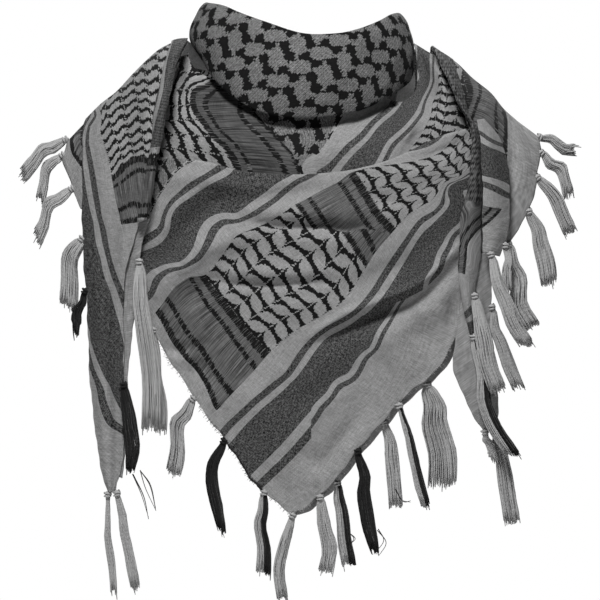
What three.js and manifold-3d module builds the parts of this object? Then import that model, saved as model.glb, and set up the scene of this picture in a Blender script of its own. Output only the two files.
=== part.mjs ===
import * as THREE from "three";
import Module from "manifold-3d";
import { mergeVertices } from "three/addons/utils/BufferGeometryUtils.js";

// Square fringed scarf, folded corner to corner and wound round the neck.
// Millimetres, +Z up, the wearer faces -Y. The origin is the middle of the neck at the collar's foot.

// Driving sizes
const CLOTH_WALL = 1.6;
const COLLAR_WALL = 3.2;
const SEAM_GAP = 0.55;

// The collar's ring of cloth
const COLLAR = {
  centreX: -8,
  halfWidthTop: 88,
  halfWidthLow: 98,
  frontTop: 78,
  frontLow: 88,
  backTop: 72,
  backLow: 84,
  bulge: 5,
};

// The general figure that the cloth hangs on
const FIGURE = {
  ridgeY: 10,
  chest: 105,
  chestTurnStart: 110,
  chestTurnWidth: 100,
  chestTurnDepth: 55,
  roundingSide: 110,
  roundingMiddle: 60,
  roundingSpread: 70,
};

// How far each stretch lies outside the figure, from the innermost layer outwards
const LIFT = {
  throat: 0,
  bibUnder: 3,
  bib: 9.5,
  leftFold: 16.6,
  leftBack: 14,
  leftFront: 19,
  leftPleat: 23,
  rightEnd: 14.1,
  rightShoulder: 13.7,
  rightPleat: 17.8,
  rightFold: 22.8,
};
const RIDGE_LIFT = 19;
const RIDGE_SETTLING = 0.55;

// Shoulder line of the cloth in the front view
const RIDGE_ROWS = [
  { at: -222, z: -38 },
  { at: -200, z: -15 },
  { at: -187, z: -2 },
  { at: -173, z: 9 },
  { at: -160, z: 23 },
  { at: -147, z: 36 },
  { at: -134, z: 47 },
  { at: -120, z: 53 },
  { at: -106, z: 54 },
  { at: 0, z: 60 },
  { at: 104, z: 50 },
  { at: 114, z: 45 },
  { at: 126, z: 37 },
  { at: 146, z: 19 },
  { at: 158, z: 9 },
  { at: 168, z: -3 },
  { at: 180, z: -13 },
  { at: 200, z: -28 },
  { at: 222, z: -46 },
];

// Collar, by the angle round the neck: 0 is the front, 90 is the right of the picture
const COLLAR_ROWS = [
  { at: -180, top: 46, low: 8 },
  { at: -135, top: 60, low: 16 },
  { at: -112, top: 74, low: 38 },
  { at: -90, top: 86, low: 47 },
  { at: -72, top: 86, low: 40 },
  { at: -54, top: 83, low: 18 },
  { at: -41, top: 77, low: 4 },
  { at: -22, top: 68, low: -11 },
  { at: 0, top: 58, low: -16 },
  { at: 20, top: 58, low: -13 },
  { at: 34, top: 62, low: -8 },
  { at: 50, top: 69, low: 2 },
  { at: 66, top: 76, low: 11 },
  { at: 85, top: 77, low: 20 },
  { at: 105, top: 71, low: 32 },
  { at: 135, top: 57, low: 18 },
  { at: 180, top: 46, low: 8 },
];

// Soft folds that run slantwise round the collar
const COLLAR_FOLDS = [
  { angle: -66, slant: 30, lift: 3.5, width: 13 },
  { angle: -34, slant: -22, lift: -2.5, width: 10 },
  { angle: 6, slant: 26, lift: 2.5, width: 14 },
  { angle: 44, slant: -30, lift: -3, width: 11 },
  { angle: 74, slant: 20, lift: 2.5, width: 10 },
  { angle: 128, slant: -24, lift: 3, width: 14 },
  { angle: -140, slant: 24, lift: 3, width: 14 },
  { angle: 176, slant: 20, lift: -2.5, width: 12 },
];

// Lines of the throat drape, by collar angle: the first point lies inside or outside the collar
// and over or under its lower edge, the last one lies behind the bib or a tail
const THROAT_ROWS = [
  { at: -92, inset: -3, rise: -4, x: -126, z: 32 },
  { at: -80, inset: -4, rise: -8, x: -134, z: 8 },
  { at: -70, inset: -1, rise: -12, x: -139, z: -22 },
  { at: -60, inset: 8, rise: -8, x: -140, z: -52 },
  { at: -50, inset: 10.8, rise: 3, x: -124, z: -68 },
  { at: -40, inset: 10.8, rise: 8, x: -98, z: -73 },
  { at: -28, inset: 10.8, rise: 8, x: -70, z: -77 },
  { at: -12, inset: 10.8, rise: 8, x: -36, z: -81 },
  { at: 4, inset: 10.8, rise: 8, x: -2, z: -82 },
  { at: 20, inset: 10.8, rise: 8, x: 32, z: -76 },
  { at: 36, inset: 10.8, rise: 8, x: 62, z: -70 },
  { at: 48, inset: 10.8, rise: 6, x: 88, z: -60 },
  { at: 58, inset: 10.8, rise: -5, x: 108, z: -52 },
  { at: 66, inset: 2, rise: -12, x: 124, z: -43 },
  { at: 74, inset: -5, rise: -6, x: 140, z: -34 },
  { at: 82, inset: -4, rise: 8, x: 148, z: -16 },
  { at: 90, inset: -1.6, rise: 22, x: 136, z: 8 },
  { at: 98, inset: -1.6, rise: 22, x: 120, z: 33 },
];
const THROAT_TUCK = 12;
const THROAT_BELOW_COLLAR = 8;
const THROAT_STEEPEST = 3;
const THROAT_SHARES = { second: 0.12, inner: [0.38, 0.7] };

// Long folds of the throat drape, from the collar down to the bib
const THROAT_FOLDS = [
  { x1: -92, z1: 30, x2: -62, z2: -58, lift: -3, width: 8 },
  { x1: -106, z1: 30, x2: -80, z2: -50, lift: 3, width: 9 },
  { x1: -58, z1: -10, x2: -36, z2: -62, lift: 2, width: 10 },
  { x1: 74, z1: 2, x2: 50, z2: -52, lift: -3, width: 9 },
  { x1: 92, z1: 22, x2: 80, z2: -40, lift: 2.5, width: 9 },
  { x1: 114, z1: 10, x2: 106, z2: -28, lift: -3, width: 9 },
];

// Bib, by x: its folded top edge and its fringed hem
const BIB_ROWS = [
  { at: -152, top: -34, hem: -160 },
  { at: -140, top: -48, hem: -199 },
  { at: -118, top: -52, hem: -240 },
  { at: -92, top: -55, hem: -277 },
  { at: -66, top: -62, hem: -311 },
  { at: -44, top: -65, hem: -341 },
  { at: -17, top: -66, hem: -362 },
  { at: 7, top: -65, hem: -348 },
  { at: 34, top: -62, hem: -314 },
  { at: 65, top: -54, hem: -277 },
  { at: 90, top: -43, hem: -254 },
  { at: 113, top: -32, hem: -233 },
  { at: 130, top: -27, hem: -200 },
  { at: 152, top: -20, hem: -150 },
];

// Creases of the bib: soft ridges and troughs, each along two joined lines
const BIB_FOLDS = [
  { x1: -55, z1: -110, xm: -12, zm: -114, x2: 45, z2: -110, lift: -2.6, width: 6 },
  { x1: -55, z1: -99, xm: -10, zm: -102, x2: 42, z2: -99, lift: 2, width: 7 },
  { x1: -84, z1: -158, xm: -34, zm: -163, x2: 18, z2: -161, lift: -2.6, width: 6 },
  { x1: -136, z1: -172, xm: -106, zm: -132, x2: -62, z2: -101, lift: 3, width: 12 },
  { x1: -124, z1: -176, xm: -96, zm: -146, x2: -58, z2: -122, lift: -2.5, width: 9 },
  { x1: 124, z1: -140, xm: 92, zm: -168, x2: 4, z2: -208, lift: -4, width: 8 },
  { x1: 118, z1: -122, xm: 84, zm: -152, x2: 10, z2: -190, lift: 3, width: 9 },
  { x1: 112, z1: -92, xm: 70, zm: -118, x2: 20, z2: -150, lift: 2.5, width: 12 },
  { x1: -18, z1: -309, xm: 14, zm: -316, x2: 47, z2: -264, lift: -3, width: 10 },
  { x1: -70, z1: -250, xm: -36, zm: -280, x2: -16, z2: -330, lift: 2.5, width: 13 },
  { x1: 60, z1: -200, xm: 78, zm: -226, x2: 92, z2: -244, lift: 2.5, width: 11 },
  { x1: -122, z1: -214, xm: -106, zm: -220, x2: -84, z2: -210, lift: -2.5, width: 6 },
];
// The bib's folded top edge, rolled back from its highest line
const BIB_ROLL = [
  { y: 2.2, z: -0.6 },
  { y: 4.5, z: -5 },
];
const BIB_TOP_EASE = 2;
const BIB_UNDER_PEEK = { x: 5, z: -2 };
const BIB_UNDER_DROP = 12;

// Tail on the left of the picture, from the shoulder down: outer and inner edge. The first rows lie
// a drop below the shoulder line, the others have the height of each edge.
const LEFT_FRONT_ROWS = [
  { drop: 0, xo: -200, xi: -110 },
  { drop: 4, xo: -202, xi: -111 },
  { drop: 15, xo: -203, xi: -115 },
  { drop: 32, xo: -202, xi: -121 },
  { drop: 55, xo: -202, xi: -130 },
  { drop: 82, xo: -202, xi: -136 },
  { xo: -201, zo: -128, xi: -142, zi: -72 },
  { xo: -200, zo: -150, xi: -149, zi: -102 },
  { xo: -198, zo: -170, xi: -158, zi: -130 },
  { xo: -197, zo: -194, xi: -165, zi: -164 },
  { xo: -196, zo: -226, xi: -165, zi: -210 },
  { xo: -194, zo: -258, xi: -165, zi: -252 },
  { xo: -190, zo: -290, xi: -165, zi: -290 },
  { xo: -186, zo: -320, xi: -167, zi: -322 },
  { xo: -179, zo: -344, xi: -173, zi: -345 },
];
const LEFT_PLEAT_ROWS = [
  { drop: 0, xo: -124, xi: -110 },
  { drop: 4, xo: -125, xi: -111 },
  { drop: 15, xo: -128, xi: -115 },
  { drop: 32, xo: -133, xi: -120 },
  { drop: 55, xo: -138, xi: -125 },
  { drop: 82, xo: -141, xi: -130 },
  { xo: -143, zo: -52, xi: -134, zi: -50 },
  { xo: -147, zo: -78, xi: -138, zi: -75 },
  { xo: -153, zo: -108, xi: -144, zi: -106 },
];
const LEFT_BACK_ROWS = [
  { drop: 0, xo: -216, xi: -165 },
  { drop: 4, xo: -218, xi: -165 },
  { drop: 15, xo: -220, xi: -165 },
  { drop: 32, xo: -215, xi: -167 },
  { xo: -209, zo: -84, xi: -172, zi: -70 },
  { xo: -203, zo: -96, xi: -178, zi: -90 },
];
const LEFT_FOLD_ROWS = [
  { xo: -185, zo: -104, xi: -142, zi: -105 },
  { xo: -186, zo: -124, xi: -149, zi: -125 },
  { xo: -186, zo: -172, xi: -153, zi: -174 },
  { xo: -186, zo: -224, xi: -160, zi: -222 },
  { xo: -184, zo: -280, xi: -163, zi: -284 },
  { xo: -178, zo: -328, xi: -166, zi: -332 },
];

// Tail on the right of the picture, with the same columns
const RIGHT_SHOULDER_ROWS = [
  { drop: 0, xo: 200, xi: 116 },
  { drop: 4, xo: 201, xi: 117 },
  { drop: 15, xo: 202, xi: 121 },
  { drop: 32, xo: 199, xi: 131 },
  { drop: 52, xo: 196, xi: 139 },
  { xo: 190, zo: -98, xi: 143, zi: -52 },
  { xo: 181, zo: -114, xi: 145, zi: -80 },
  { xo: 172, zo: -127, xi: 146, zi: -104 },
];
const RIGHT_PLEAT_ROWS = [
  { drop: 0, xo: 125, xi: 108 },
  { drop: 4, xo: 126, xi: 109 },
  { drop: 13, xo: 129, xi: 113 },
  { drop: 27, xo: 134, xi: 120 },
  { drop: 40, xo: 139, xi: 129 },
  { xo: 145, zo: -26, xi: 138, zi: -22 },
  { xo: 148, zo: -50, xi: 139, zi: -48 },
  { xo: 149, zo: -72, xi: 137, zi: -70 },
  { xo: 148, zo: -106, xi: 130, zi: -104 },
  { xo: 147, zo: -142, xi: 128, zi: -140 },
  { xo: 142, zo: -170, xi: 129, zi: -168 },
  { xo: 142, zo: -207, xi: 138, zi: -206 },
];
const RIGHT_FOLD_ROWS = [
  { xo: 151, zo: -17, xi: 145, zi: -18 },
  { xo: 164, zo: -33, xi: 147, zi: -36 },
  { xo: 172, zo: -58, xi: 148.5, zi: -60 },
  { xo: 173, zo: -86, xi: 149, zi: -86 },
  { xo: 173, zo: -110, xi: 149, zi: -108 },
  { xo: 164, zo: -138, xi: 148.5, zi: -134 },
];
const RIGHT_END_ROWS = [
  { xo: 160, zo: -133, xi: 142, zi: -136 },
  { xo: 157, zo: -165, xi: 132, zi: -168 },
  { xo: 157, zo: -198, xi: 127, zi: -200 },
  { xo: 160, zo: -232, xi: 123, zi: -232 },
  { xo: 162, zo: -256, xi: 130, zi: -254 },
  { xo: 163, zo: -278, xi: 140, zi: -276 },
  { xo: 161, zo: -291, xi: 150, zi: -290 },
];

// The two arms behind the neck, from their shoulder to the far side: upper edge, then lower edge
const NAPE_ROWS = [
  { at: 0.08, xu: -105, yu: 34, zu: 50, xl: -188, yl: 36, zl: -34, bulge: 7 },
  { at: 0.24, xu: -98, yu: 62, zu: 41, xl: -150, yl: 74, zl: -54, bulge: 9 },
  { at: 0.42, xu: -62, yu: 88, zu: 35, xl: -82, yl: 101, zl: -56, bulge: 8 },
  { at: 0.58, xu: -4, yu: 97, zu: 34, xl: -6, yl: 108, zl: -42, bulge: 8 },
  { at: 0.74, xu: 50, yu: 88, zu: 44, xl: 58, yl: 97, zl: -4, bulge: 7 },
  { at: 0.88, xu: 82, yu: 64, zu: 61, xl: 90, yl: 70, zl: 43, bulge: 4 },
  { at: 1, xu: 94, yu: 36, zu: 68, xl: 99, yl: 38, zl: 56, bulge: 2 },
];
const RIGHT_ARM_OUTSIDE = 13;
const RIGHT_ARM_SHIFT = -16;
const NAPE_PLEATS = 3;
const NAPE_PLEAT_DEPTH = 2.6;

// Tassels: the stretch whose edge carries them, root, middle and tip in the front view, width at the
// tip, how far their knot leans forward from the edge and how far their locks swing forward
const LEFT_TASSELS = [
  { on: "tail_left_back", x0: -218, z0: -34, x1: -238, z1: -43, x2: -256, z2: -65, width: 13, lean: 0, swing: 0 },
  { on: "tail_left_back", x0: -220, z0: -48, x1: -235, z1: -60, x2: -240, z2: -87, width: 11, lean: 0, swing: 0 },
  { on: "tail_left_back", x0: -211, z0: -78, x1: -232, z1: -92, x2: -242, z2: -122, width: 13, lean: 0, swing: 0 },
  { on: "tail_left_front", x0: -202, z0: -122, x1: -213, z1: -140, x2: -214, z2: -182, width: 18, lean: 0, swing: 0 },
  { on: "tail_left_front", x0: -199, z0: -168, x1: -206, z1: -185, x2: -207, z2: -206, width: 8, lean: 0, swing: 0 },
  { on: "tail_left_fold", x0: -151, z0: -142, x1: -147, z1: -200, x2: -141, z2: -288, width: 17, lean: 1.6, swing: 8 },
  { on: "bib", x0: -139, z0: -202, x1: -137, z1: -245, x2: -133, z2: -290, width: 11, lean: 0, swing: 0 },
  { on: "tail_left_front", x0: -165, z0: -250, x1: -160, z1: -284, x2: -159, z2: -326, width: 13, lean: 3, swing: 2 },
  { on: "tail_left_front", x0: -179, z0: -346, x1: -180, z1: -385, x2: -176, z2: -430, width: 9, lean: 0, swing: 0 },
  { on: "tail_left_front", x0: -171, z0: -345, x1: -163, z1: -376, x2: -153, z2: -427, width: 9, lean: 0.6, swing: 0 },
];
const BIB_TASSELS = [
  { on: "bib", x0: -104, z0: -262, x1: -118, z1: -284, x2: -121, z2: -327, width: 15, lean: 0, swing: 0 },
  { on: "bib", x0: -77, z0: -299, x1: -88, z1: -332, x2: -79, z2: -378, width: 12, lean: 0, swing: 0 },
  { on: "bib", x0: -42, z0: -344, x1: -46, z1: -372, x2: -43, z2: -414, width: 12, lean: 0, swing: 0 },
  { on: "bib", x0: -17, z0: -364, x1: -25, z1: -392, x2: -26, z2: -436, width: 10, lean: 0, swing: 0 },
  { on: "bib", x0: 7, z0: -348, x1: 11, z1: -376, x2: 12, z2: -412, width: 13, lean: 0.8, swing: 0 },
  { on: "bib_under", x0: 22, z0: -336, x1: 26, z1: -362, x2: 32, z2: -407, width: 12, lean: 0, swing: 0 },
  { on: "bib", x0: 40, z0: -308, x1: 45, z1: -345, x2: 55, z2: -397, width: 12, lean: 1.2, swing: 0 },
  { on: "bib_under", x0: 63, z0: -283, x1: 69, z1: -311, x2: 73, z2: -356, width: 12, lean: 0, swing: 0 },
  { on: "bib", x0: 76, z0: -268, x1: 88, z1: -312, x2: 99, z2: -355, width: 8, lean: 1.2, swing: 0 },
  { on: "bib_under", x0: 101, z0: -250, x1: 107, z1: -284, x2: 114, z2: -338, width: 26, lean: 0, swing: 0 },
];
const RIGHT_TASSELS = [
  { on: "tail_right_shoulder", x0: 201, z0: -32, x1: 217, z1: -38, x2: 232, z2: -43, width: 10, lean: 0, swing: 0 },
  { on: "tail_right_shoulder", x0: 202, z0: -46, x1: 219, z1: -60, x2: 226, z2: -82, width: 12, lean: 0, swing: 0 },
  { on: "tail_right_shoulder", x0: 198, z0: -68, x1: 214, z1: -86, x2: 227, z2: -116, width: 13, lean: 0, swing: 0 },
  { on: "tail_right_shoulder", x0: 190, z0: -98, x1: 200, z1: -125, x2: 208, z2: -161, width: 15, lean: 0, swing: 0 },
  { on: "tail_right_shoulder", x0: 172, z0: -127, x1: 181, z1: -158, x2: 192, z2: -200, width: 16, lean: 0, swing: 0 },
  { on: "tail_right_fold", x0: 169, z0: -128, x1: 170, z1: -148, x2: 171, z2: -167, width: 8, lean: 0, swing: 0 },
  { on: "tail_right_fold", x0: 156, z0: -136, x1: 169, z1: -178, x2: 187, z2: -215, width: 13, lean: 1.2, swing: 4 },
  { on: "tail_right_pleat", x0: 142, z0: -172, x1: 150, z1: -212, x2: 162, z2: -255, width: 15, lean: 1.5, swing: 5 },
  { on: "tail_right_end", x0: 157, z0: -182, x1: 165, z1: -214, x2: 180, z2: -252, width: 11, lean: 0, swing: 0 },
  { on: "tail_right_pleat", x0: 141, z0: -208, x1: 150, z1: -264, x2: 175, z2: -311, width: 13, lean: 0.5, swing: 0 },
  { on: "tail_right_end", x0: 151, z0: -291, x1: 155, z1: -302, x2: 158, z2: -313, width: 7, lean: 0, swing: 0 },
  { on: "tail_right_end", x0: 160, z0: -292, x1: 168, z1: -325, x2: 175, z2: -370, width: 14, lean: 0, swing: 0 },
];
const LOCKS_PER_TASSEL = 4;
const LOCK_STEPS = 3;
const LOCK_UNEVENNESS = 3.5;
const TASSEL_HEAD = 3.6;
const KNOT_REACH = 0.9;

// Slope at row k of a table, from the rows beside it
function slopeAt(rows, column, k) {
  const before = rows[Math.max(k - 1, 0)];
  const after = rows[Math.min(k + 1, rows.length - 1)];
  return (after[column] - before[column]) / (after.at - before.at);
}

// Smooth value of a column of a table, at a place along its rows
function smooth(rows, column, at) {
  let k = 0;
  while (k < rows.length - 2 && at > rows[k + 1].at) k += 1;
  const step = rows[k + 1].at - rows[k].at;
  const t = THREE.MathUtils.clamp((at - rows[k].at) / step, 0, 1);
  const from = rows[k][column];
  const to = rows[k + 1][column];
  const leave = slopeAt(rows, column, k) * step;
  const arrive = slopeAt(rows, column, k + 1) * step;
  const cubic = 2 * (from - to) + leave + arrive;
  const square = 3 * (to - from) - 2 * leave - arrive;
  return ((cubic * t + square) * t + leave) * t + from;
}

// Points of a smooth line through the corners given, as evenly spread as the corners
function lineThrough(corners, steps) {
  const curve = new THREE.CatmullRomCurve3(corners, false, "centripetal");
  return Array.from({ length: steps + 1 }, (_, j) => curve.getPoint(j / steps));
}

// Height of a layer's shoulder line: the outer layers ride a little higher
function ridgeHeight(x, lift) {
  return smooth(RIDGE_ROWS, "z", x) + RIDGE_SETTLING * (lift - RIDGE_LIFT);
}

// How far the chest stands in front of the origin
function chestDepth(x) {
  const turn = (Math.abs(x) - FIGURE.chestTurnStart) / FIGURE.chestTurnWidth;
  return FIGURE.chest - FIGURE.chestTurnDepth * THREE.MathUtils.clamp(turn, 0, 1.1) ** 1.5;
}

// Front surface of a layer: y at a place in the front view
function frontY(x, z, lift) {
  const spread = Math.exp(-((x / FIGURE.roundingSpread) ** 2));
  const rounding = FIGURE.roundingSide + FIGURE.roundingMiddle * spread;
  const drop = THREE.MathUtils.clamp((ridgeHeight(x, lift) - z) / rounding, 0, 1);
  const reach = Math.sqrt(1 - (1 - drop) ** 2);
  return FIGURE.ridgeY - (FIGURE.ridgeY + chestDepth(x) + lift) * reach;
}

// How near a place is to a straight stretch of a fold: 1 on its line, nearly 0 beyond its width
function foldNearness(x, z, from, to, width) {
  const alongX = to.x - from.x;
  const alongZ = to.z - from.z;
  const length2 = alongX * alongX + alongZ * alongZ;
  const t = ((x - from.x) * alongX + (z - from.z) * alongZ) / length2;
  const near = THREE.MathUtils.clamp(t, 0, 1);
  const away = Math.hypot(x - from.x - near * alongX, z - from.z - near * alongZ);
  return Math.exp(-((away / width) ** 2));
}

// How far the folds of a table stand out at a place in the front view
function foldRelief(folds, x, z) {
  return folds.reduce((sum, fold) => {
    const from = { x: fold.x1, z: fold.z1 };
    const to = { x: fold.x2, z: fold.z2 };
    const bend = fold.xm === undefined ? to : { x: fold.xm, z: fold.zm };
    const first = foldNearness(x, z, from, bend, fold.width);
    const second = fold.xm === undefined ? 0 : foldNearness(x, z, bend, to, fold.width);
    return sum + fold.lift * Math.max(first, second);
  }, 0);
}

// Outward direction at each point of a grid of points
function gridNormals(grid, ring) {
  const last = grid.length - 1;
  return grid.map((column, i) => {
    const next = grid[ring ? (i + 1) % grid.length : Math.min(i + 1, last)];
    const back = grid[ring ? (i + last) % grid.length : Math.max(i - 1, 0)];
    return column.map((_, j) => {
      const up = column[Math.min(j + 1, column.length - 1)];
      const down = column[Math.max(j - 1, 0)];
      const along = next[j].clone().sub(back[j]);
      return along.cross(up.clone().sub(down)).normalize();
    });
  });
}

// Closed wall of cloth: the grid is its outer face, the inner face lies one thickness inside
function clothWall(grid, thickness, ring = false) {
  const columns = grid.length;
  const rows = grid[0].length;
  const normals = gridNormals(grid, ring);
  const positions = [];
  grid.forEach((column) => column.forEach((p) => positions.push(p.x, p.y, p.z)));
  grid.forEach((column, i) =>
    column.forEach((p, j) => {
      const inner = p.clone().addScaledVector(normals[i][j], -thickness);
      positions.push(inner.x, inner.y, inner.z);
    }),
  );
  const outer = (i, j) => (i % columns) * rows + j;
  const inner = (i, j) => columns * rows + outer(i, j);
  const faces = [];
  const quad = (a, b, c, d) => faces.push(a, b, c, a, c, d);
  const spans = ring ? columns : columns - 1;
  for (let i = 0; i < spans; i += 1) {
    for (let j = 0; j < rows - 1; j += 1) {
      quad(outer(i, j), outer(i + 1, j), outer(i + 1, j + 1), outer(i, j + 1));
      quad(inner(i, j + 1), inner(i + 1, j + 1), inner(i + 1, j), inner(i, j));
    }
    quad(outer(i + 1, 0), outer(i, 0), inner(i, 0), inner(i + 1, 0));
    quad(outer(i, rows - 1), outer(i + 1, rows - 1), inner(i + 1, rows - 1), inner(i, rows - 1));
  }
  if (!ring) {
    const end = columns - 1;
    for (let j = 0; j < rows - 1; j += 1) {
      quad(outer(0, j), outer(0, j + 1), inner(0, j + 1), inner(0, j));
      quad(outer(end, j + 1), outer(end, j), inner(end, j), inner(end, j + 1));
    }
  }
  const geometry = new THREE.BufferGeometry();
  geometry.setAttribute("position", new THREE.Float32BufferAttribute(positions, 3));
  geometry.setIndex(faces);
  return geometry;
}

// Point of the collar's outer face, by angle and by height between its two edges
function collarPoint(degrees, height, inset) {
  const angle = THREE.MathUtils.degToRad(degrees);
  const top = smooth(COLLAR_ROWS, "top", degrees);
  const low = smooth(COLLAR_ROWS, "low", degrees);
  const front = Math.cos(angle) > 0;
  const share = THREE.MathUtils.clamp(height, 0, 1);
  const half = THREE.MathUtils.lerp(COLLAR.halfWidthLow, COLLAR.halfWidthTop, share);
  const depthLow = front ? COLLAR.frontLow : COLLAR.backLow;
  const depthTop = front ? COLLAR.frontTop : COLLAR.backTop;
  const depth = THREE.MathUtils.lerp(depthLow, depthTop, share);
  const bulge = COLLAR.bulge * Math.sin(Math.PI * share) - inset + collarRelief(degrees, share);
  return new THREE.Vector3(
    COLLAR.centreX + (half + bulge) * Math.sin(angle),
    -(depth + bulge) * Math.cos(angle),
    low + (top - low) * height,
  );
}

// How far the collar's slanted folds stand out
function collarRelief(degrees, share) {
  return COLLAR_FOLDS.reduce((sum, fold) => {
    const turn = degrees - fold.angle - fold.slant * (share - 0.5);
    const away = ((turn + 540) % 360) - 180;
    return sum + fold.lift * Math.exp(-((away / fold.width) ** 2)) * Math.sin(Math.PI * share);
  }, 0);
}

// The collar: its lower edge is turned under and its upper edge is folded inwards
function collarGeometry() {
  const sections = 42;
  const profile = [
    { height: 0.13, inset: 9 },
    { height: 0.02, inset: 6 },
    { height: 0, inset: 1.5 },
    { height: 0.12, inset: 0 },
    { height: 0.38, inset: 0 },
    { height: 0.64, inset: 0 },
    { height: 0.88, inset: 0 },
    { height: 1, inset: 3.5 },
    { height: 0.95, inset: 8 },
  ];
  const grid = Array.from({ length: sections }, (_, i) => {
    const degrees = -180 + (360 * i) / sections;
    return profile.map((stop) => collarPoint(degrees, stop.height, stop.inset));
  });
  return clothWall(grid, COLLAR_WALL, true);
}

// A line of the throat drape, from the collar to the bib
function throatLine(degrees, steps) {
  const column = (name) => smooth(THROAT_ROWS, name, degrees);
  const low = smooth(COLLAR_ROWS, "low", degrees);
  const first = collarPoint(degrees, 0, column("inset")).setZ(low + column("rise"));
  const end = new THREE.Vector3(column("x"), 0, column("z"));
  end.y = frontY(end.x, end.z, LIFT.throat);
  const tucked = THREE.MathUtils.smoothstep(column("inset"), 0, THROAT_TUCK);
  const beneath = first.clone().setZ(Math.min(low - THROAT_BELOW_COLLAR, first.z - THROAT_STEEPEST));
  const second = first.clone().lerp(end, THROAT_SHARES.second).lerp(beneath, tucked);
  const corners = [first, second];
  THROAT_SHARES.inner.forEach((share) => {
    const point = second.clone().lerp(end, share);
    const outer = frontY(point.x, point.z, LIFT.throat);
    point.y = Math.min(outer, point.y) - foldRelief(THROAT_FOLDS, point.x, point.z);
    corners.push(point);
  });
  corners.push(end);
  return lineThrough(corners, steps);
}

// The throat drape: a cowl of lines that start at the collar and run down behind the bib
function throatGrid() {
  const lines = 28;
  const steps = 7;
  const first = THROAT_ROWS[0].at;
  const last = THROAT_ROWS[THROAT_ROWS.length - 1].at;
  return Array.from({ length: lines + 1 }, (_, i) => {
    const degrees = THREE.MathUtils.lerp(first, last, i / lines);
    return throatLine(degrees, steps).reverse();
  });
}

// One layer of the folded square, hung from its rolled top edge
function bibGrid(columns, steps, lift, shift, drop) {
  const first = BIB_ROWS[0].at;
  const last = BIB_ROWS[BIB_ROWS.length - 1].at;
  return Array.from({ length: columns + 1 }, (_, i) => {
    const across = THREE.MathUtils.lerp(first, last, i / columns);
    const x = across + shift.x;
    const top = smooth(BIB_ROWS, "top", across) - drop;
    const hem = smooth(BIB_ROWS, "hem", across) + shift.z;
    const column = [];
    for (let j = 0; j <= steps; j += 1) {
      const z = THREE.MathUtils.lerp(hem, top - BIB_TOP_EASE, j / steps);
      const out = foldRelief(BIB_FOLDS, x, z);
      column.push(new THREE.Vector3(x, frontY(x, z, lift) - out, z));
    }
    if (drop === 0) {
      const y = frontY(x, top, lift);
      BIB_ROLL.forEach((turn) => column.push(new THREE.Vector3(x, y + turn.y, top + turn.z)));
    }
    return column;
  });
}

// Place of a tail's row in the front view, at a share of the way from its outer to its inner edge
function rowPlace(row, share, lift) {
  const x = THREE.MathUtils.lerp(row.xo, row.xi, share);
  if (row.drop !== undefined) return new THREE.Vector3(x, 0, ridgeHeight(x, lift) - row.drop);
  return new THREE.Vector3(x, 0, THREE.MathUtils.lerp(row.zo, row.zi, share));
}

// A stretch of a tail, through its rows; pleats are waves across its width
function tailGrid({ rows, across, along, lift, roll = 0, pleats = 0, pleatDepth = 0 }) {
  const grid = Array.from({ length: across + 1 }, (_, i) => {
    const share = i / across;
    const corners = rows.map((row) => rowPlace(row, share, lift));
    const line = lineThrough(corners, along);
    line.forEach((point, j) => {
      const fade = Math.min(1, (4 * j) / along);
      const rolled = roll * Math.sin(Math.PI * share);
      const pleat = pleatDepth * Math.sin(Math.PI * pleats * share) ** 2;
      point.y = frontY(point.x, point.z, lift + fade * (rolled + pleat));
      if (j === 0) point.y = Math.min(point.y, FIGURE.ridgeY - SEAM_GAP);
    });
    return line.reverse();
  });
  if (rows[0].xo > 0) grid.reverse();
  return grid;
}

// An arm behind the neck: it starts at its tail's shoulder line and ends under the other arm
function napeGrid({ side, shoulder, lift, outside, shift }) {
  const across = 8;
  const along = 15;
  const grid = Array.from({ length: across + 1 }, (_, i) => {
    const share = i / across;
    const start = rowPlace(shoulder, share, lift);
    start.y = FIGURE.ridgeY + SEAM_GAP;
    const corners = [start];
    NAPE_ROWS.forEach((row) => {
      const upper = new THREE.Vector3(row.xu, row.yu, row.zu);
      const point = new THREE.Vector3(row.xl, row.yl, row.zl).lerp(upper, share);
      const pleat = NAPE_PLEAT_DEPTH * Math.sin(Math.PI * NAPE_PLEATS * share) ** 2;
      const out = row.bulge * Math.sin(Math.PI * share) + pleat + outside * Math.min(1, 3 * row.at);
      const away = new THREE.Vector3(point.x, point.y, 0).normalize();
      point.addScaledVector(away, out);
      corners.push(point.setX(point.x * side + shift * row.at));
    });
    return lineThrough(corners, along);
  });
  if (side > 0) grid.reverse();
  return grid.reverse();
}

// The round knot that ties a tassel
function knotSolid(kit, centre) {
  const ball = new THREE.IcosahedronGeometry(TASSEL_HEAD, 0).translate(centre.x, centre.y, centre.z);
  ball.deleteAttribute("normal");
  ball.deleteAttribute("uv");
  const merged = mergeVertices(ball, 1e-3);
  const mesh = new kit.Mesh({
    numProp: 3,
    vertProperties: merged.attributes.position.array,
    triVerts: new Uint32Array(merged.index.array),
  });
  return new kit.Manifold(mesh);
}

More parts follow.
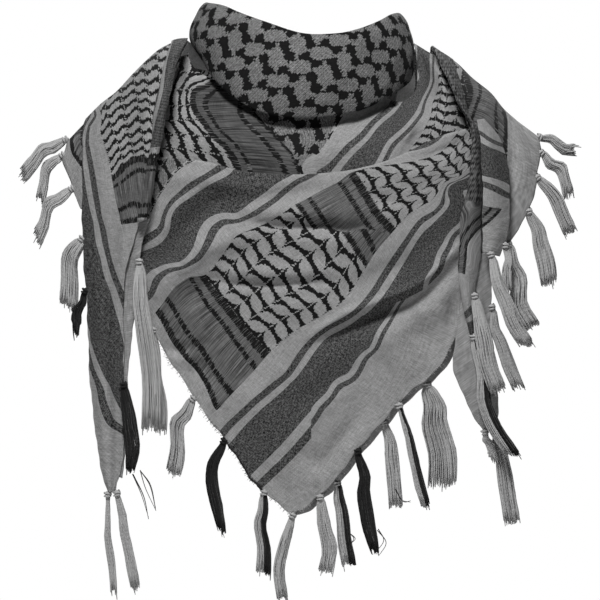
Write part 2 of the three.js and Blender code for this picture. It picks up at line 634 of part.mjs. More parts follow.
// A three-sided lock of yarn along a line, thin at its ends; its sections lie across the tassel
function lockSolid(kit, line, thickness, across) {
  const sides = 3;
  const positions = [];
  const faces = [];
  line.forEach((point, j) => {
    const swell = thickness * (0.55 + 0.45 * Math.sin((Math.PI * j) / (line.length - 1)));
    for (let k = 0; k < sides; k += 1) {
      const angle = (2 * Math.PI * k) / sides;
      const corner = point.clone().addScaledVector(across, swell * Math.cos(angle));
      positions.push(corner.x, corner.y + swell * Math.sin(angle), corner.z);
    }
  });
  const corner = (j, k) => j * sides + (k % sides);
  for (let j = 0; j < line.length - 1; j += 1) {
    for (let k = 0; k < sides; k += 1) {
      faces.push(corner(j, k), corner(j + 1, k), corner(j + 1, k + 1));
      faces.push(corner(j, k), corner(j + 1, k + 1), corner(j, k + 1));
    }
  }
  const end = line.length - 1;
  faces.push(corner(0, 0), corner(0, 1), corner(0, 2));
  faces.push(corner(end, 2), corner(end, 1), corner(end, 0));
  const mesh = new kit.Mesh({
    numProp: 3,
    vertProperties: new Float32Array(positions),
    triVerts: new Uint32Array(faces),
  });
  return new kit.Manifold(mesh);
}

// The points round the edge of a stretch, in order
function borderOf(grid) {
  const first = grid[0];
  const last = grid[grid.length - 1];
  const top = grid.map((column) => column[column.length - 1]);
  const foot = grid.map((column) => column[0]);
  return [...first, ...top, ...last.slice().reverse(), ...foot.reverse()];
}

// Where a tassel's knot sits: just off the nearest place of its stretch's edge
function knotSeat(row) {
  const grid = grids.get(row.on);
  const border = borderOf(grid);
  const centre = grid[Math.floor(grid.length / 2)][Math.floor(grid[0].length / 2)];
  let seat = { away: Infinity };
  border.forEach((from, k) => {
    const to = border[(k + 1) % border.length];
    const run = new THREE.Vector2(to.x - from.x, to.z - from.z);
    if (run.length() < 1) return;
    const way = new THREE.Vector2(row.x0 - from.x, row.z0 - from.z);
    const share = THREE.MathUtils.clamp(way.dot(run) / run.lengthSq(), 0, 1);
    const place = from.clone().lerp(to, share);
    const away = Math.hypot(place.x - row.x0, place.z - row.z0);
    if (away < seat.away) seat = { away, place, out: new THREE.Vector3(-run.y, 0, run.x).normalize() };
  });
  if (seat.out.dot(seat.place.clone().sub(centre)) < 0) seat.out.negate();
  seat.out.y = -row.lean;
  seat.place.y += CLOTH_WALL / 2;
  const reach = KNOT_REACH * TASSEL_HEAD + SEAM_GAP + Math.min(1, row.lean) * (CLOTH_WALL / 4);
  return seat.place.addScaledVector(seat.out.normalize(), reach);
}

// A tassel: locks that fan out from a round knot
function tasselGeometry(kit, row) {
  const head = knotSeat(row);
  const middle = new THREE.Vector3(row.x1, head.y - row.swing, row.z1);
  const tip = new THREE.Vector3(row.x2, head.y - row.swing, row.z2);
  const heading = middle.clone().sub(head).normalize();
  const pieces = [knotSolid(kit, head)];
  const across = new THREE.Vector3(-heading.z, 0, heading.x);
  for (let k = 0; k < LOCKS_PER_TASSEL; k += 1) {
    const spread = k / (LOCKS_PER_TASSEL - 1) - 0.5;
    const depth = (k % 2 === 0 ? -1 : 1) * 0.1 * row.width;
    const fan = (point, share, shorter) => {
      const moved = point.clone().addScaledVector(across, spread * row.width * share);
      moved.y += depth * share;
      moved.z += shorter;
      return moved;
    };
    const uneven = LOCK_UNEVENNESS * Math.abs(Math.sin(2.1 * k + row.x0));
    const corners = [head, fan(middle, 0.75, 0), fan(tip, 0.9, uneven)];
    pieces.push(lockSolid(kit, lineThrough(corners, LOCK_STEPS), row.width / 6, across));
  }
  const joined = kit.Manifold.union(pieces).getMesh();
  const geometry = new THREE.BufferGeometry();
  const points = new Float32Array(joined.vertProperties);
  geometry.setAttribute("position", new THREE.BufferAttribute(points, joined.numProp));
  geometry.setIndex(Array.from(joined.triVerts));
  return geometry;
}

// Cotton, matt, in the grey of its stretch
function cotton(colour) {
  return new THREE.MeshStandardMaterial({ color: colour, roughness: 0.9, metalness: 0 });
}

const COTTON = { patterned: 0x6a6a6a, light: 0x8c8c8c, yarn: 0x989898, darkYarn: 0x2b2b2b };

// The stretches of the two tails
const TAILS = [
  {
    name: "tail_left_front",
    rows: LEFT_FRONT_ROWS,
    across: 8,
    along: 22,
    lift: LIFT.leftFront,
    pleats: 2,
    pleatDepth: 2,
    colour: COTTON.patterned,
  },
  {
    name: "tail_left_pleat",
    rows: LEFT_PLEAT_ROWS,
    across: 4,
    along: 12,
    lift: LIFT.leftPleat,
    roll: 6,
    colour: COTTON.patterned,
  },
  { name: "tail_left_back", rows: LEFT_BACK_ROWS, across: 5, along: 8, lift: LIFT.leftBack, colour: COTTON.light },
  { name: "tail_left_fold", rows: LEFT_FOLD_ROWS, across: 4, along: 12, lift: LIFT.leftFold, colour: COTTON.light },
  {
    name: "tail_right_shoulder",
    rows: RIGHT_SHOULDER_ROWS,
    across: 7,
    along: 14,
    lift: LIFT.rightShoulder,
    colour: COTTON.light,
  },
  {
    name: "tail_right_pleat",
    rows: RIGHT_PLEAT_ROWS,
    across: 4,
    along: 16,
    lift: LIFT.rightPleat,
    roll: 5,
    colour: COTTON.patterned,
  },
  {
    name: "tail_right_fold",
    rows: RIGHT_FOLD_ROWS,
    across: 4,
    along: 10,
    lift: LIFT.rightFold,
    roll: 4,
    colour: COTTON.patterned,
  },
  {
    name: "tail_right_end",
    rows: RIGHT_END_ROWS,
    across: 4,
    along: 10,
    lift: LIFT.rightEnd,
    roll: 2,
    colour: COTTON.light,
  },
];
const DARK_TASSELS = ["tassel_left_05", "tassel_left_08", "tassel_bib_02", "tassel_bib_07"];

const kit = await Module();
kit.setup();

const group = new THREE.Group();
group.name = "head_wrap";
const grids = new Map();

// A piece of the wrap, in its own cotton
function addPiece(name, geometry, colour) {
  const mesh = new THREE.Mesh(geometry, cotton(colour));
  mesh.name = name;
  group.add(mesh);
}

// A stretch of cloth, whose grid is kept for the tassels that its edge carries
function addStretch(name, grid, colour) {
  grids.set(name, grid);
  addPiece(name, clothWall(grid, CLOTH_WALL), colour);
}

// The tassels of one side, numbered from the shoulder round
function addTassels(prefix, rows) {
  rows.forEach((row, k) => {
    const name = `${prefix}_${String(k + 1).padStart(2, "0")}`;
    const colour = DARK_TASSELS.includes(name) ? COTTON.darkYarn : COTTON.yarn;
    addPiece(name, tasselGeometry(kit, row), colour);
  });
}

addPiece("collar", collarGeometry(), COTTON.patterned);
addStretch("throat_drape", throatGrid(), COTTON.patterned);
addStretch("bib", bibGrid(25, 16, LIFT.bib, { x: 0, z: 0 }, 0), COTTON.patterned);
addStretch("bib_under", bibGrid(25, 10, LIFT.bibUnder, BIB_UNDER_PEEK, BIB_UNDER_DROP), COTTON.light);
TAILS.forEach((tail) => addStretch(tail.name, tailGrid(tail), tail.colour));
addStretch(
  "nape_left",
  napeGrid({ side: 1, shoulder: LEFT_FRONT_ROWS[0], lift: LIFT.leftFront, outside: 0, shift: 0 }),
  COTTON.patterned,
);
addStretch(
  "nape_right",
  napeGrid({
    side: -1,
    shoulder: RIGHT_SHOULDER_ROWS[0],
    lift: LIFT.rightShoulder,
    outside: RIGHT_ARM_OUTSIDE,
    shift: RIGHT_ARM_SHIFT,
  }),
  COTTON.patterned,
);
addTassels("tassel_left", LEFT_TASSELS);
addTassels("tassel_bib", BIB_TASSELS);
addTassels("tassel_right", RIGHT_TASSELS);

export default group;
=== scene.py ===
"""A square fringed scarf, folded corner to corner and wound round the neck, on a pale floor.

Tables are in millimetres, or in squares of the front view where they say so. Every mesh is built in
metres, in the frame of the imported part: +Z is up and the wrap's front faces -Y.
"""

from __future__ import annotations

import logging
import math
from dataclasses import dataclass, field
from enum import Enum
from typing import Iterable, Sequence

import bpy
import numpy as np
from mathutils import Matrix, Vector

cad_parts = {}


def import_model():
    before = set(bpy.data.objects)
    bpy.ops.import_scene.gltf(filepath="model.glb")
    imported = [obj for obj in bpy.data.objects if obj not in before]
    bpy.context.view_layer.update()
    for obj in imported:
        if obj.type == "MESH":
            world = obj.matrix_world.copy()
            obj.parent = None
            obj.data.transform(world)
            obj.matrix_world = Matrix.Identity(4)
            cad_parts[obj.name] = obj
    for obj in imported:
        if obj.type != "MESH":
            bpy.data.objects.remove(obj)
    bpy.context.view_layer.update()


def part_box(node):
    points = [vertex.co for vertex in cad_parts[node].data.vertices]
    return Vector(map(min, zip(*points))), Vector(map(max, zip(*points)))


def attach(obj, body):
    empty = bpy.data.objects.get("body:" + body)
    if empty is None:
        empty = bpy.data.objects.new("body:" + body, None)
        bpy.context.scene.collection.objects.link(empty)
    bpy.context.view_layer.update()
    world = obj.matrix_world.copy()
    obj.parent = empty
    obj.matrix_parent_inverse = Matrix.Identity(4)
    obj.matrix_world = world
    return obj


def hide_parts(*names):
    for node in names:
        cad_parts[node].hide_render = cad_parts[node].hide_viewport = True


LOG = logging.getLogger("head_wrap")
MM = 0.001
MAP_STEP = 100.0
Rows = Sequence[Sequence[float]]
Array = np.ndarray


# Front view


@dataclass(frozen=True)
class FrontView:
    """The front view's squares, counted from its upper left corner."""

    square: float = 0.88
    middle_column: float = 312.0
    level_row: float = 100.0
    side: float = 600.0
    distance: float = 9000.0

    def x(self, column: Array) -> Array:
        """Millimetres to the right of the origin for a column of squares."""
        return (np.asarray(column, float) - self.middle_column) * self.square

    def z(self, row: Array) -> Array:
        """Millimetres above the origin for a row of squares."""
        return (self.level_row - np.asarray(row, float)) * self.square

    def column(self, x: Array) -> Array:
        """The column of squares that a place x falls in."""
        return np.asarray(x, float) / self.square + self.middle_column

    def row(self, z: Array) -> Array:
        """The row of squares that a height z falls in."""
        return self.level_row - np.asarray(z, float) / self.square


VIEW = FrontView()


# Smooth lines and fields


def smooth(rows: Rows, column: int, at: Array) -> Array:
    """Smooth value of a table's column at places along its first column.

    Args:
        rows: The table, whose first column rises.
        column: The column to read.
        at: The places.

    Returns:
        The values, constant beyond the table's ends.
    """
    table = np.asarray(rows, float)
    keys, values = table[:, 0], table[:, column]
    last = len(keys) - 1
    back, ahead = np.maximum(np.arange(last + 1) - 1, 0), np.minimum(np.arange(last + 1) + 1, last)
    slopes = (values[ahead] - values[back]) / (keys[ahead] - keys[back])
    at = np.asarray(at, float)
    k = np.clip(np.searchsorted(keys, at, side="left") - 1, 0, last - 1)
    step = keys[k + 1] - keys[k]
    t = np.clip((at - keys[k]) / step, 0, 1)
    leave, arrive = slopes[k] * step, slopes[k + 1] * step
    start, end = values[k], values[k + 1]
    cubic = 2 * (start - end) + leave + arrive
    square = 3 * (end - start) - 2 * leave - arrive
    return ((cubic * t + square) * t + leave) * t + start


def line_through(corners: Array, shares: Array) -> Array:
    """Points of smooth lines through their corners, with the corners evenly spread.

    Args:
        corners: An array of lines, corners and coordinates.
        shares: Places along each line, from 0 to 1.

    Returns:
        An array of lines, places and coordinates.
    """
    first = 2 * corners[:, :1] - corners[:, 1:2]
    final = 2 * corners[:, -1:] - corners[:, -2:-1]
    padded = np.concatenate([first, corners, final], axis=1)
    spans = corners.shape[1] - 1
    place = np.clip(np.asarray(shares, float), 0, 1) * spans
    k = np.minimum(place.astype(int), spans - 1)
    t = (place - k)[None, :, None]
    p0, p1, p2, p3 = (padded[:, k + n] for n in range(4))

    def gap(a: Array, b: Array) -> Array:
        """Spacing of two corners in the curve's own measure."""
        return np.maximum(np.sum((a - b) ** 2, axis=2, keepdims=True) ** 0.25, 1e-4)

    d0, d1, d2 = gap(p0, p1), gap(p1, p2), gap(p2, p3)
    leave = ((p1 - p0) / d0 - (p2 - p0) / (d0 + d1) + (p2 - p1) / d1) * d1
    arrive = ((p2 - p1) / d1 - (p3 - p1) / (d1 + d2) + (p3 - p2) / d2) * d1
    cubic = 2 * (p1 - p2) + leave + arrive
    square = 3 * (p2 - p1) - 2 * leave - arrive
    return ((cubic * t + square) * t + leave) * t + p1


class Field:
    """A smooth value over the front view, drawn through places where it is known."""

    def __init__(self, rows: Rows, stiffness: float = 2.0) -> None:
        """Solves for the field.

        Args:
            rows: Column, row and value at each known place, in squares of the front view.
            stiffness: How far the field may leave the known values to stay smooth.
        """
        table = np.asarray(rows, float)
        self.places, values = table[:, :2], table[:, 2]
        count = len(values)
        matrix = np.zeros((count + 3, count + 3))
        matrix[:count, :count] = self._pull(self.places) + stiffness * np.eye(count)
        matrix[:count, count] = 1
        matrix[:count, count + 1 :] = self.places
        matrix[count:, :count] = matrix[:count, count:].T
        self.weights = np.linalg.solve(matrix, np.append(values, np.zeros(3)))

    def _pull(self, places: Array) -> Array:
        """How strongly each known place acts on each place given."""
        away = np.sum((places[:, None, :] - self.places[None, :, :]) ** 2, axis=2)
        return 0.5 * away * np.log(np.maximum(away, 1e-9))

    def at(self, x: Array, z: Array) -> Array:
        """The field's value at places in the front view, given in millimetres.

        Args:
            x: Places across, in millimetres.
            z: Places up, in millimetres.

        Returns:
            The value at each place.
        """
        places = np.stack([VIEW.column(x).ravel(), VIEW.row(z).ravel()], axis=1)
        count = len(self.places)
        value = self._pull(places) @ self.weights[:count] + self.weights[count]
        return (value + places @ self.weights[count + 1 :]).reshape(np.shape(x))


def side_of(rows: Rows, x: Array, z: Array) -> Array:
    """How far places lie under a line of the front view that runs from left to right.

    Args:
        rows: Columns and rows of the line, in squares.
        x: Places across, in millimetres.
        z: Places up, in millimetres.

    Returns:
        Millimetres under the line, negative above it.
    """
    table = np.asarray(rows, float)
    height = np.interp(VIEW.column(x), table[:, 0], table[:, 1])
    return (VIEW.row(z) - height) * VIEW.square


def right_of(rows: Rows, x: Array, z: Array) -> Array:
    """How far places lie to the right of a line of the front view that runs downwards, in millimetres.

    Args:
        rows: Columns and rows of the line, in squares.
        x: Places across, in millimetres.
        z: Places up, in millimetres.

    Returns:
        Millimetres to the right of the line, negative to its left.
    """
    table = np.asarray(rows, float)
    across = np.interp(VIEW.row(z), table[:, 1], table[:, 0])
    return (VIEW.column(x) - across) * VIEW.square


def charted(*runs: Sequence) -> tuple[tuple[float, float, float], ...]:
    """Rows for a field, from runs that each give a value and the places in the front view that have it."""
    return tuple((*place, run[0]) for run in runs for place in run[1:])


# The general figure and its layers


@dataclass(frozen=True)
class Crease:
    """A soft trough or ridge along a bent line of the front view, fading at its ends."""

    line: Rows
    lift: float
    width: float
    under: float = 1.0

    def relief(self, x: Array, z: Array) -> Array:
        """How far the crease stands out at places of the front view, in millimetres.

        Args:
            x: Places across, in millimetres.
            z: Places up, in millimetres.

        Returns:
            Millimetres outward at each place.
        """
        corners = np.asarray(self.line, float)
        cx, cz = VIEW.x(corners[:, 0]), VIEW.z(corners[:, 1])
        lengths = np.hypot(np.diff(cx), np.diff(cz))
        ends = np.concatenate([[0], np.cumsum(lengths)])
        best = np.full(np.shape(x), 1e9)
        along = np.zeros(np.shape(x))
        side = np.zeros(np.shape(x))
        for k, length in enumerate(lengths):
            dx, dz = (cx[k + 1] - cx[k]) / length, (cz[k + 1] - cz[k]) / length
            t = np.clip((x - cx[k]) * dx + (z - cz[k]) * dz, 0, length)
            away = np.hypot(x - cx[k] - t * dx, z - cz[k] - t * dz)
            nearer = away < best
            best = np.where(nearer, away, best)
            along = np.where(nearer, (ends[k] + t) / ends[-1], along)
            side = np.where(nearer, dx * (z - cz[k]) - dz * (x - cx[k]), side)
        fade = np.clip(np.sin(math.pi * np.clip(along, 0.02, 0.98)), 0, 1) ** 0.5
        width = self.width * np.where(side < 0, self.under, 1.0)
        return self.lift * fade * np.exp(-((best / width) ** 2))


def relief_of(creases: Iterable[Crease], x: Array, z: Array) -> Array:
    """How far a set of creases stands out at places of the front view.

    Args:
        creases: The creases.
        x: Places across, in millimetres.
        z: Places up, in millimetres.

    Returns:
        Millimetres outward at each place.
    """
    total = np.zeros(np.shape(x))
    for crease in creases:
        total += crease.relief(x, z)
    return total


# Place across, height of the shoulder line.
RIDGE_ROWS = (
    (-222, -38), (-200, -15), (-187, -2), (-173, 9), (-160, 23), (-147, 36), (-134, 47),
    (-120, 53), (-106, 54), (0, 60), (104, 50), (114, 45), (126, 37), (146, 19), (158, 9),
    (168, -3), (180, -13), (200, -28), (222, -46),
)


@dataclass(frozen=True)
class Figure:
    """The general form that the cloth hangs on, and how its layers lie on it."""

    ridge_y: float = 10.0
    chest: float = 105.0
    turn_start: float = 110.0
    turn_width: float = 100.0
    turn_depth: float = 55.0
    rounding_side: float = 110.0
    rounding_middle: float = 60.0
    rounding_spread: float = 70.0
    ridge_lift: float = 19.0
    settling: float = 0.55
    seam: float = 0.55

    def ridge(self, x: Array, lift: Array) -> Array:
        """Height of a layer's shoulder line."""
        return smooth(RIDGE_ROWS, 1, x) + self.settling * (lift - self.ridge_lift)

    def depth(self, x: Array) -> Array:
        """How far the chest stands in front of the origin."""
        turn = np.clip((np.abs(x) - self.turn_start) / self.turn_width, 0, 1.1)
        return self.chest - self.turn_depth * turn**1.5

    def front(self, x: Array, z: Array, lift: Array) -> Array:
        """Front surface of a layer, as y at places of the front view.

        Args:
            x: Places across, in millimetres.
            z: Places up, in millimetres.
            lift: How far the layer stands off the chest, in millimetres.

        Returns:
            The surface's y at each place.
        """
        spread = np.exp(-((x / self.rounding_spread) ** 2))
        rounding = self.rounding_side + self.rounding_middle * spread
        drop = np.clip((self.ridge(x, lift) - z) / rounding, 0, 1)
        reach = np.sqrt(1 - (1 - drop) ** 2)
        return self.ridge_y - (self.ridge_y + self.depth(x) + lift) * reach


FIGURE = Figure()


# Cloth meshes


def normals_of(grid: Array, ring: bool) -> Array:
    """Outward direction at each point of a grid of points.

    Args:
        grid: The points, by column and by row.
        ring: Whether the last column meets the first.

    Returns:
        A direction of length 1 at each point.
    """
    if ring:
        along = np.roll(grid, -1, axis=0) - np.roll(grid, 1, axis=0)
    else:
        along = np.gradient(grid, axis=0)
    up = np.gradient(grid, axis=1)
    cross = np.cross(along, up)
    return cross / np.maximum(np.linalg.norm(cross, axis=2, keepdims=True), 1e-9)


@dataclass
class Cloth:
    """A stretch of cloth as a grid of points, with its place in the weave at each of them."""

    grid: Array
    weave: Array
    weave_turned: Array | None = None
    figure: Array | None = None
    turn_along: Array | None = None
    turn_across: Array | None = None
    ring: bool = False

    def shell(self, name: str, thickness: float, material: bpy.types.Material) -> bpy.types.Object:
        """Builds the stretch as a thin closed shell.

        Args:
            name: The piece's name.
            thickness: The cloth's thickness in millimetres.
            material: What the shell is made of.

        Returns:
            The shell, in metres.
        """
        columns, rows = self.grid.shape[:2]
        normals = normals_of(self.grid, self.ring)
        outward = self.grid[..., :2] * normals[..., :2]
        sign = 1.0 if np.sum(outward) > 0 else -1.0
        inner = self.grid - thickness * sign * normals
        points = np.concatenate([self.grid.reshape(-1, 3), inner.reshape(-1, 3)]) * MM
        index = np.arange(columns * rows).reshape(columns, rows)
        if self.ring:
            index = np.concatenate([index, index[:1]], axis=0)
        below = index + columns * rows
        a, b, c, d = index[:-1, :-1], index[1:, :-1], index[1:, 1:], index[:-1, 1:]
        outer_faces = np.stack([a, b, c, d], axis=-1).reshape(-1, 4)
        a, b, c, d = below[:-1, 1:], below[1:, 1:], below[1:, :-1], below[:-1, :-1]
        inner_faces = np.stack([a, b, c, d], axis=-1).reshape(-1, 4)
        rims = [
            np.stack([index[1:, 0], index[:-1, 0], below[:-1, 0], below[1:, 0]], axis=-1),
            np.stack([index[:-1, -1], index[1:, -1], below[1:, -1], below[:-1, -1]], axis=-1),
        ]
        if not self.ring:
            rims.append(np.stack([index[0, :-1], index[0, 1:], below[0, 1:], below[0, :-1]], axis=-1))
            rims.append(np.stack([index[-1, 1:], index[-1, :-1], below[-1, :-1], below[-1, 1:]], axis=-1))
        faces = np.concatenate([outer_faces, inner_faces, *rims])
        if sign < 0:
            faces = faces[:, ::-1]
        mesh = bpy.data.meshes.new(name)
        mesh.from_pydata(points.tolist(), [], faces.tolist())
        mesh.polygons.foreach_set("use_smooth", [True] * len(mesh.polygons))
        corners = np.empty(len(mesh.loops), int)
        mesh.loops.foreach_get("vertex_index", corners)
        self._write_map(mesh, "weave", self.weave, corners)
        turned = self.weave if self.weave_turned is None else self.weave_turned
        self._write_map(mesh, "weave_turned", turned, corners)
        self._write_map(mesh, "figure", self.weave if self.figure is None else self.figure, corners)
        for label, values in (("turn_along", self.turn_along), ("turn_across", self.turn_across)):
            flat = np.full(columns * rows, -1.0) if values is None else values.ravel()
            attribute = mesh.attributes.new(label, "FLOAT", "POINT")
            attribute.data.foreach_set("value", np.tile(flat, 2).astype(np.float32))
        mesh.materials.append(material)
        piece = bpy.data.objects.new(name, mesh)
        bpy.context.scene.collection.objects.link(piece)
        return piece

    @staticmethod
    def _write_map(mesh: bpy.types.Mesh, name: str, values: Array, corners: Array) -> None:
        """Writes a map of places in the cloth, in decimetres, at every corner of every face.

        Args:
            mesh: The shell's mesh.
            name: The map's name.
            values: The places, at the points of one face of the shell.
            corners: The point at each corner of each face.
        """
        flat = np.tile(values.reshape(-1, 2), (2, 1)) / MAP_STEP
        layer = mesh.uv_layers.new(name=name)
        layer.data.foreach_set("uv", flat[corners].astype(np.float32).ravel())


# Node trees


class Tree:
    """Lays nodes in a tree and links them."""

    def __init__(self, tree: bpy.types.NodeTree) -> None:
        """Takes the tree to fill."""
        self.tree = tree
        self.count = 0

    def node(self, kind: str, **settings: object) -> bpy.types.Node:
        """Adds a node of a kind with its settings.

        Args:
            kind: The node's type.
            **settings: Its properties by name.

        Returns:
            The node.
        """
        made = self.tree.nodes.new(kind)
        made.location = (180 * (self.count // 12), -170 * (self.count % 12))
        self.count += 1
        for name, value in settings.items():
            setattr(made, name, value)
        return made

    def feed(self, socket: bpy.types.NodeSocket, value: object) -> None:
        """Links a socket to another, or sets its number.

        Args:
            socket: The input to feed.
            value: The socket or the number that it takes.
        """
        if isinstance(value, bpy.types.NodeSocket):
            self.tree.links.new(value, socket)
        else:
            socket.default_value = value

    def maths(self, operation: str, *values: object) -> bpy.types.NodeSocket:
        """A sum, product or comparison of up to three values.

        Args:
            operation: What the node works out.
            *values: Its inputs, sockets or numbers.

        Returns:
            The socket of the result.
        """
        made = self.node("ShaderNodeMath", operation=operation)
        for socket, value in zip(made.inputs, values):
            self.feed(socket, value)
        return made.outputs[0]

    def plus(self, first: object, second: object) -> bpy.types.NodeSocket:
        """The sum of two values."""
        return self.maths("ADD", first, second)

    def minus(self, first: object, second: object) -> bpy.types.NodeSocket:
        """The difference of two values."""
        return self.maths("SUBTRACT", first, second)

    def times(self, first: object, second: object) -> bpy.types.NodeSocket:
        """The product of two values, or what two masks share."""
        return self.maths("MULTIPLY", first, second)

    def over(self, first: object, second: object) -> bpy.types.NodeSocket:
        """A value divided by another."""
        return self.maths("DIVIDE", first, second)

    def size(self, value: object) -> bpy.types.NodeSocket:
        """A value without its sign."""
        return self.maths("ABSOLUTE", value)

    def below(self, value: object, limit: object) -> bpy.types.NodeSocket:
        """A mask of where a value is below a limit."""
        return self.maths("LESS_THAN", value, limit)

    def rounded(self, value: object, half: object, power: float) -> bpy.types.NodeSocket:
        """One coordinate's share in the outline of a rounded shape, 1 at its own half size."""
        return self.maths("POWER", self.over(self.size(value), half), power)

    def either(self, first: object, second: object) -> bpy.types.NodeSocket:
        """The larger of two values, or what either of two masks covers."""
        return self.maths("MAXIMUM", first, second)

    def without(self, mask: object) -> bpy.types.NodeSocket:
        """The opposite of a mask."""
        return self.maths("SUBTRACT", 1.0, mask)

    def above(self, value: object, limit: object) -> bpy.types.NodeSocket:
        """A mask of where a value is above a limit."""
        return self.maths("GREATER_THAN", value, limit)

    def within(self, value: object, low: float, high: float) -> bpy.types.NodeSocket:
        """A mask of where a value lies between two limits."""
        middle, half = 0.5 * (low + high), 0.5 * (high - low)
        return self.maths("COMPARE", value, middle, half)

    def within_any(self, value: object, limits: Rows) -> bpy.types.NodeSocket:
        """A mask of where a value lies between any of the pairs of limits.

        Args:
            value: The value.
            limits: The lower and the upper limit of each stretch.

        Returns:
            The mask.
        """
        mask = self.within(value, *limits[0])
        for low, high in limits[1:]:
            mask = self.either(mask, self.within(value, low, high))
        return mask

    def blend(self, share: object, first: object, second: object) -> bpy.types.NodeSocket:
        """A number between two others.

        Args:
            share: How much of the second it takes.
            first: The value at 0.
            second: The value at 1.

        Returns:
            The socket of the result.
        """
        made = self.node("ShaderNodeMix", data_type="FLOAT")
        self.feed(made.inputs[0], share)
        self.feed(made.inputs[2], first)
        self.feed(made.inputs[3], second)
        return made.outputs[0]

    def split(self, vector: object) -> tuple[bpy.types.NodeSocket, bpy.types.NodeSocket]:
        """The first two parts of a vector.

        Args:
            vector: The vector.

        Returns:
            The sockets of x and y.
        """
        made = self.node("ShaderNodeSeparateXYZ")
        self.feed(made.inputs[0], vector)
        return made.outputs[0], made.outputs[1]

    def join(self, x: object, y: object, z: object = 0.0) -> bpy.types.NodeSocket:
        """A vector of three numbers.

        Args:
            x: The first number.
            y: The second number.
            z: The third number.

        Returns:
            The vector's socket.
        """
        made = self.node("ShaderNodeCombineXYZ")
        for socket, value in zip(made.inputs, (x, y, z)):
            self.feed(socket, value)
        return made.outputs[0]

    def noise(self, vector: object, scale: float, detail: float = 2.0) -> bpy.types.NodeSocket:
        """Soft noise from 0 to 1.

        Args:
            vector: Where the noise is read.
            scale: Its waves in a unit of length.
            detail: How many finer layers it has.

        Returns:
            The socket of the result.
        """
        made = self.node("ShaderNodeTexNoise")
        self.feed(made.inputs["Vector"], vector)
        made.inputs["Scale"].default_value = scale
        made.inputs["Detail"].default_value = detail
        return made.outputs["Fac"]

    def chance(self, vector: object) -> bpy.types.NodeSocket:
        """A different number from 0 to 1 at each place.

        Args:
            vector: The place.

        Returns:
            The socket of the result.
        """
        made = self.node("ShaderNodeTexWhiteNoise", noise_dimensions="2D")
        self.feed(made.inputs["Vector"], vector)
        return made.outputs["Value"]

    def matt(self, value: object, roughness: float, specular: float, sheen: float) -> bpy.types.Node:
        """A matt shader of one grey.

        Args:
            value: The grey.
            roughness: The shader's roughness.
            specular: How much it shines.
            sheen: How much soft bloom its fibres have.

        Returns:
            The shader's node.
        """
        shader = self.node("ShaderNodeBsdfPrincipled")
        colour = self.node("ShaderNodeCombineColor")
        for socket in colour.inputs:
            self.feed(socket, value)
        self.feed(shader.inputs["Base Color"], colour.outputs[0])
        shader.inputs["Roughness"].default_value = roughness
        shader.inputs["Specular IOR Level"].default_value = specular
        shader.inputs["Sheen Weight"].default_value = sheen
        shader.inputs["Sheen Roughness"].default_value = 0.5
        return shader

    def bump(self, height: object, strength: float, distance: float) -> bpy.types.Node:
        """Relief from a height.

        Args:
            height: The height, from about 0 to 1.
            strength: How strongly the relief shows.
            distance: How deep it is, in metres.

        Returns:
            The node, whose first output is the normal.
        """
        made = self.node("ShaderNodeBump")
        made.inputs["Strength"].default_value = strength
        made.inputs["Distance"].default_value = distance
        self.feed(made.inputs["Height"], height)
        return made

    def show(self, shader: bpy.types.Node, bump: bpy.types.Node) -> None:
        """Gives a shader its relief and puts it out as the surface."""
        self.feed(shader.inputs["Normal"], bump.outputs[0])
        self.feed(self.node("ShaderNodeOutputMaterial").inputs["Surface"], shader.outputs[0])

    def group(self, name: str, **values: object) -> bpy.types.Node:
        """Places a node group, with its inputs by name; spaces are written as underscores.

        Args:
            name: The group's name.
            **values: Its inputs, sockets or numbers.

        Returns:
            The group's node.
        """
        made = self.node("ShaderNodeGroup", node_tree=bpy.data.node_groups[name])
        for label, value in values.items():
            self.feed(made.inputs[label.replace("_", " ").capitalize()], value)
        return made


def new_group(
    name: str, inputs: dict[str, tuple[str, float]], outputs: dict[str, str]
) -> tuple[Tree, dict, dict]:
    """Starts a shader node group.

    Args:
        name: The group's name.
        inputs: The kind and the starting value of each input.
        outputs: The kind of each output.

    Returns:
        The tree, its input sockets by name and its output sockets by name.
    """
    tree = bpy.data.node_groups.new(name, "ShaderNodeTree")
    for label, (kind, value) in inputs.items():
        socket = tree.interface.new_socket(name=label, in_out="INPUT", socket_type=kind)
        if kind == "NodeSocketFloat":
            socket.default_value = value
    for label, kind in outputs.items():
        tree.interface.new_socket(name=label, in_out="OUTPUT", socket_type=kind)
    laid = Tree(tree)
    entry, leave = laid.node("NodeGroupInput"), laid.node("NodeGroupOutput")
    return laid, {s.name: s for s in entry.outputs}, {s.name: s for s in leave.inputs}


VECTOR = ("NodeSocketVector", 0.0)


def number(value: float) -> tuple[str, float]:
    """An input that takes a number."""
    return ("NodeSocketFloat", value)


@dataclass(frozen=True)
class Layout:
    """Where the stripes, bands and figures of the cloth lie, in millimetres from its woven edges."""

    shaded: Rows = (
        (51.0, 84.0), (36.0, 43.0), (91.0, 98.0), (233.0, 240.0), (248.0, 281.0), (288.0, 295.0),
    )
    border: tuple[float, float] = (116.0, 215.0)
    centre: float = 313.0
    twill: float = 316.0
    band: tuple[float, float] = (18.0, 86.0)
    bars: Rows = ((18.0, 23.0), (31.0, 36.0), (67.0, 72.0), (79.0, 86.0))


LAYOUT = Layout()


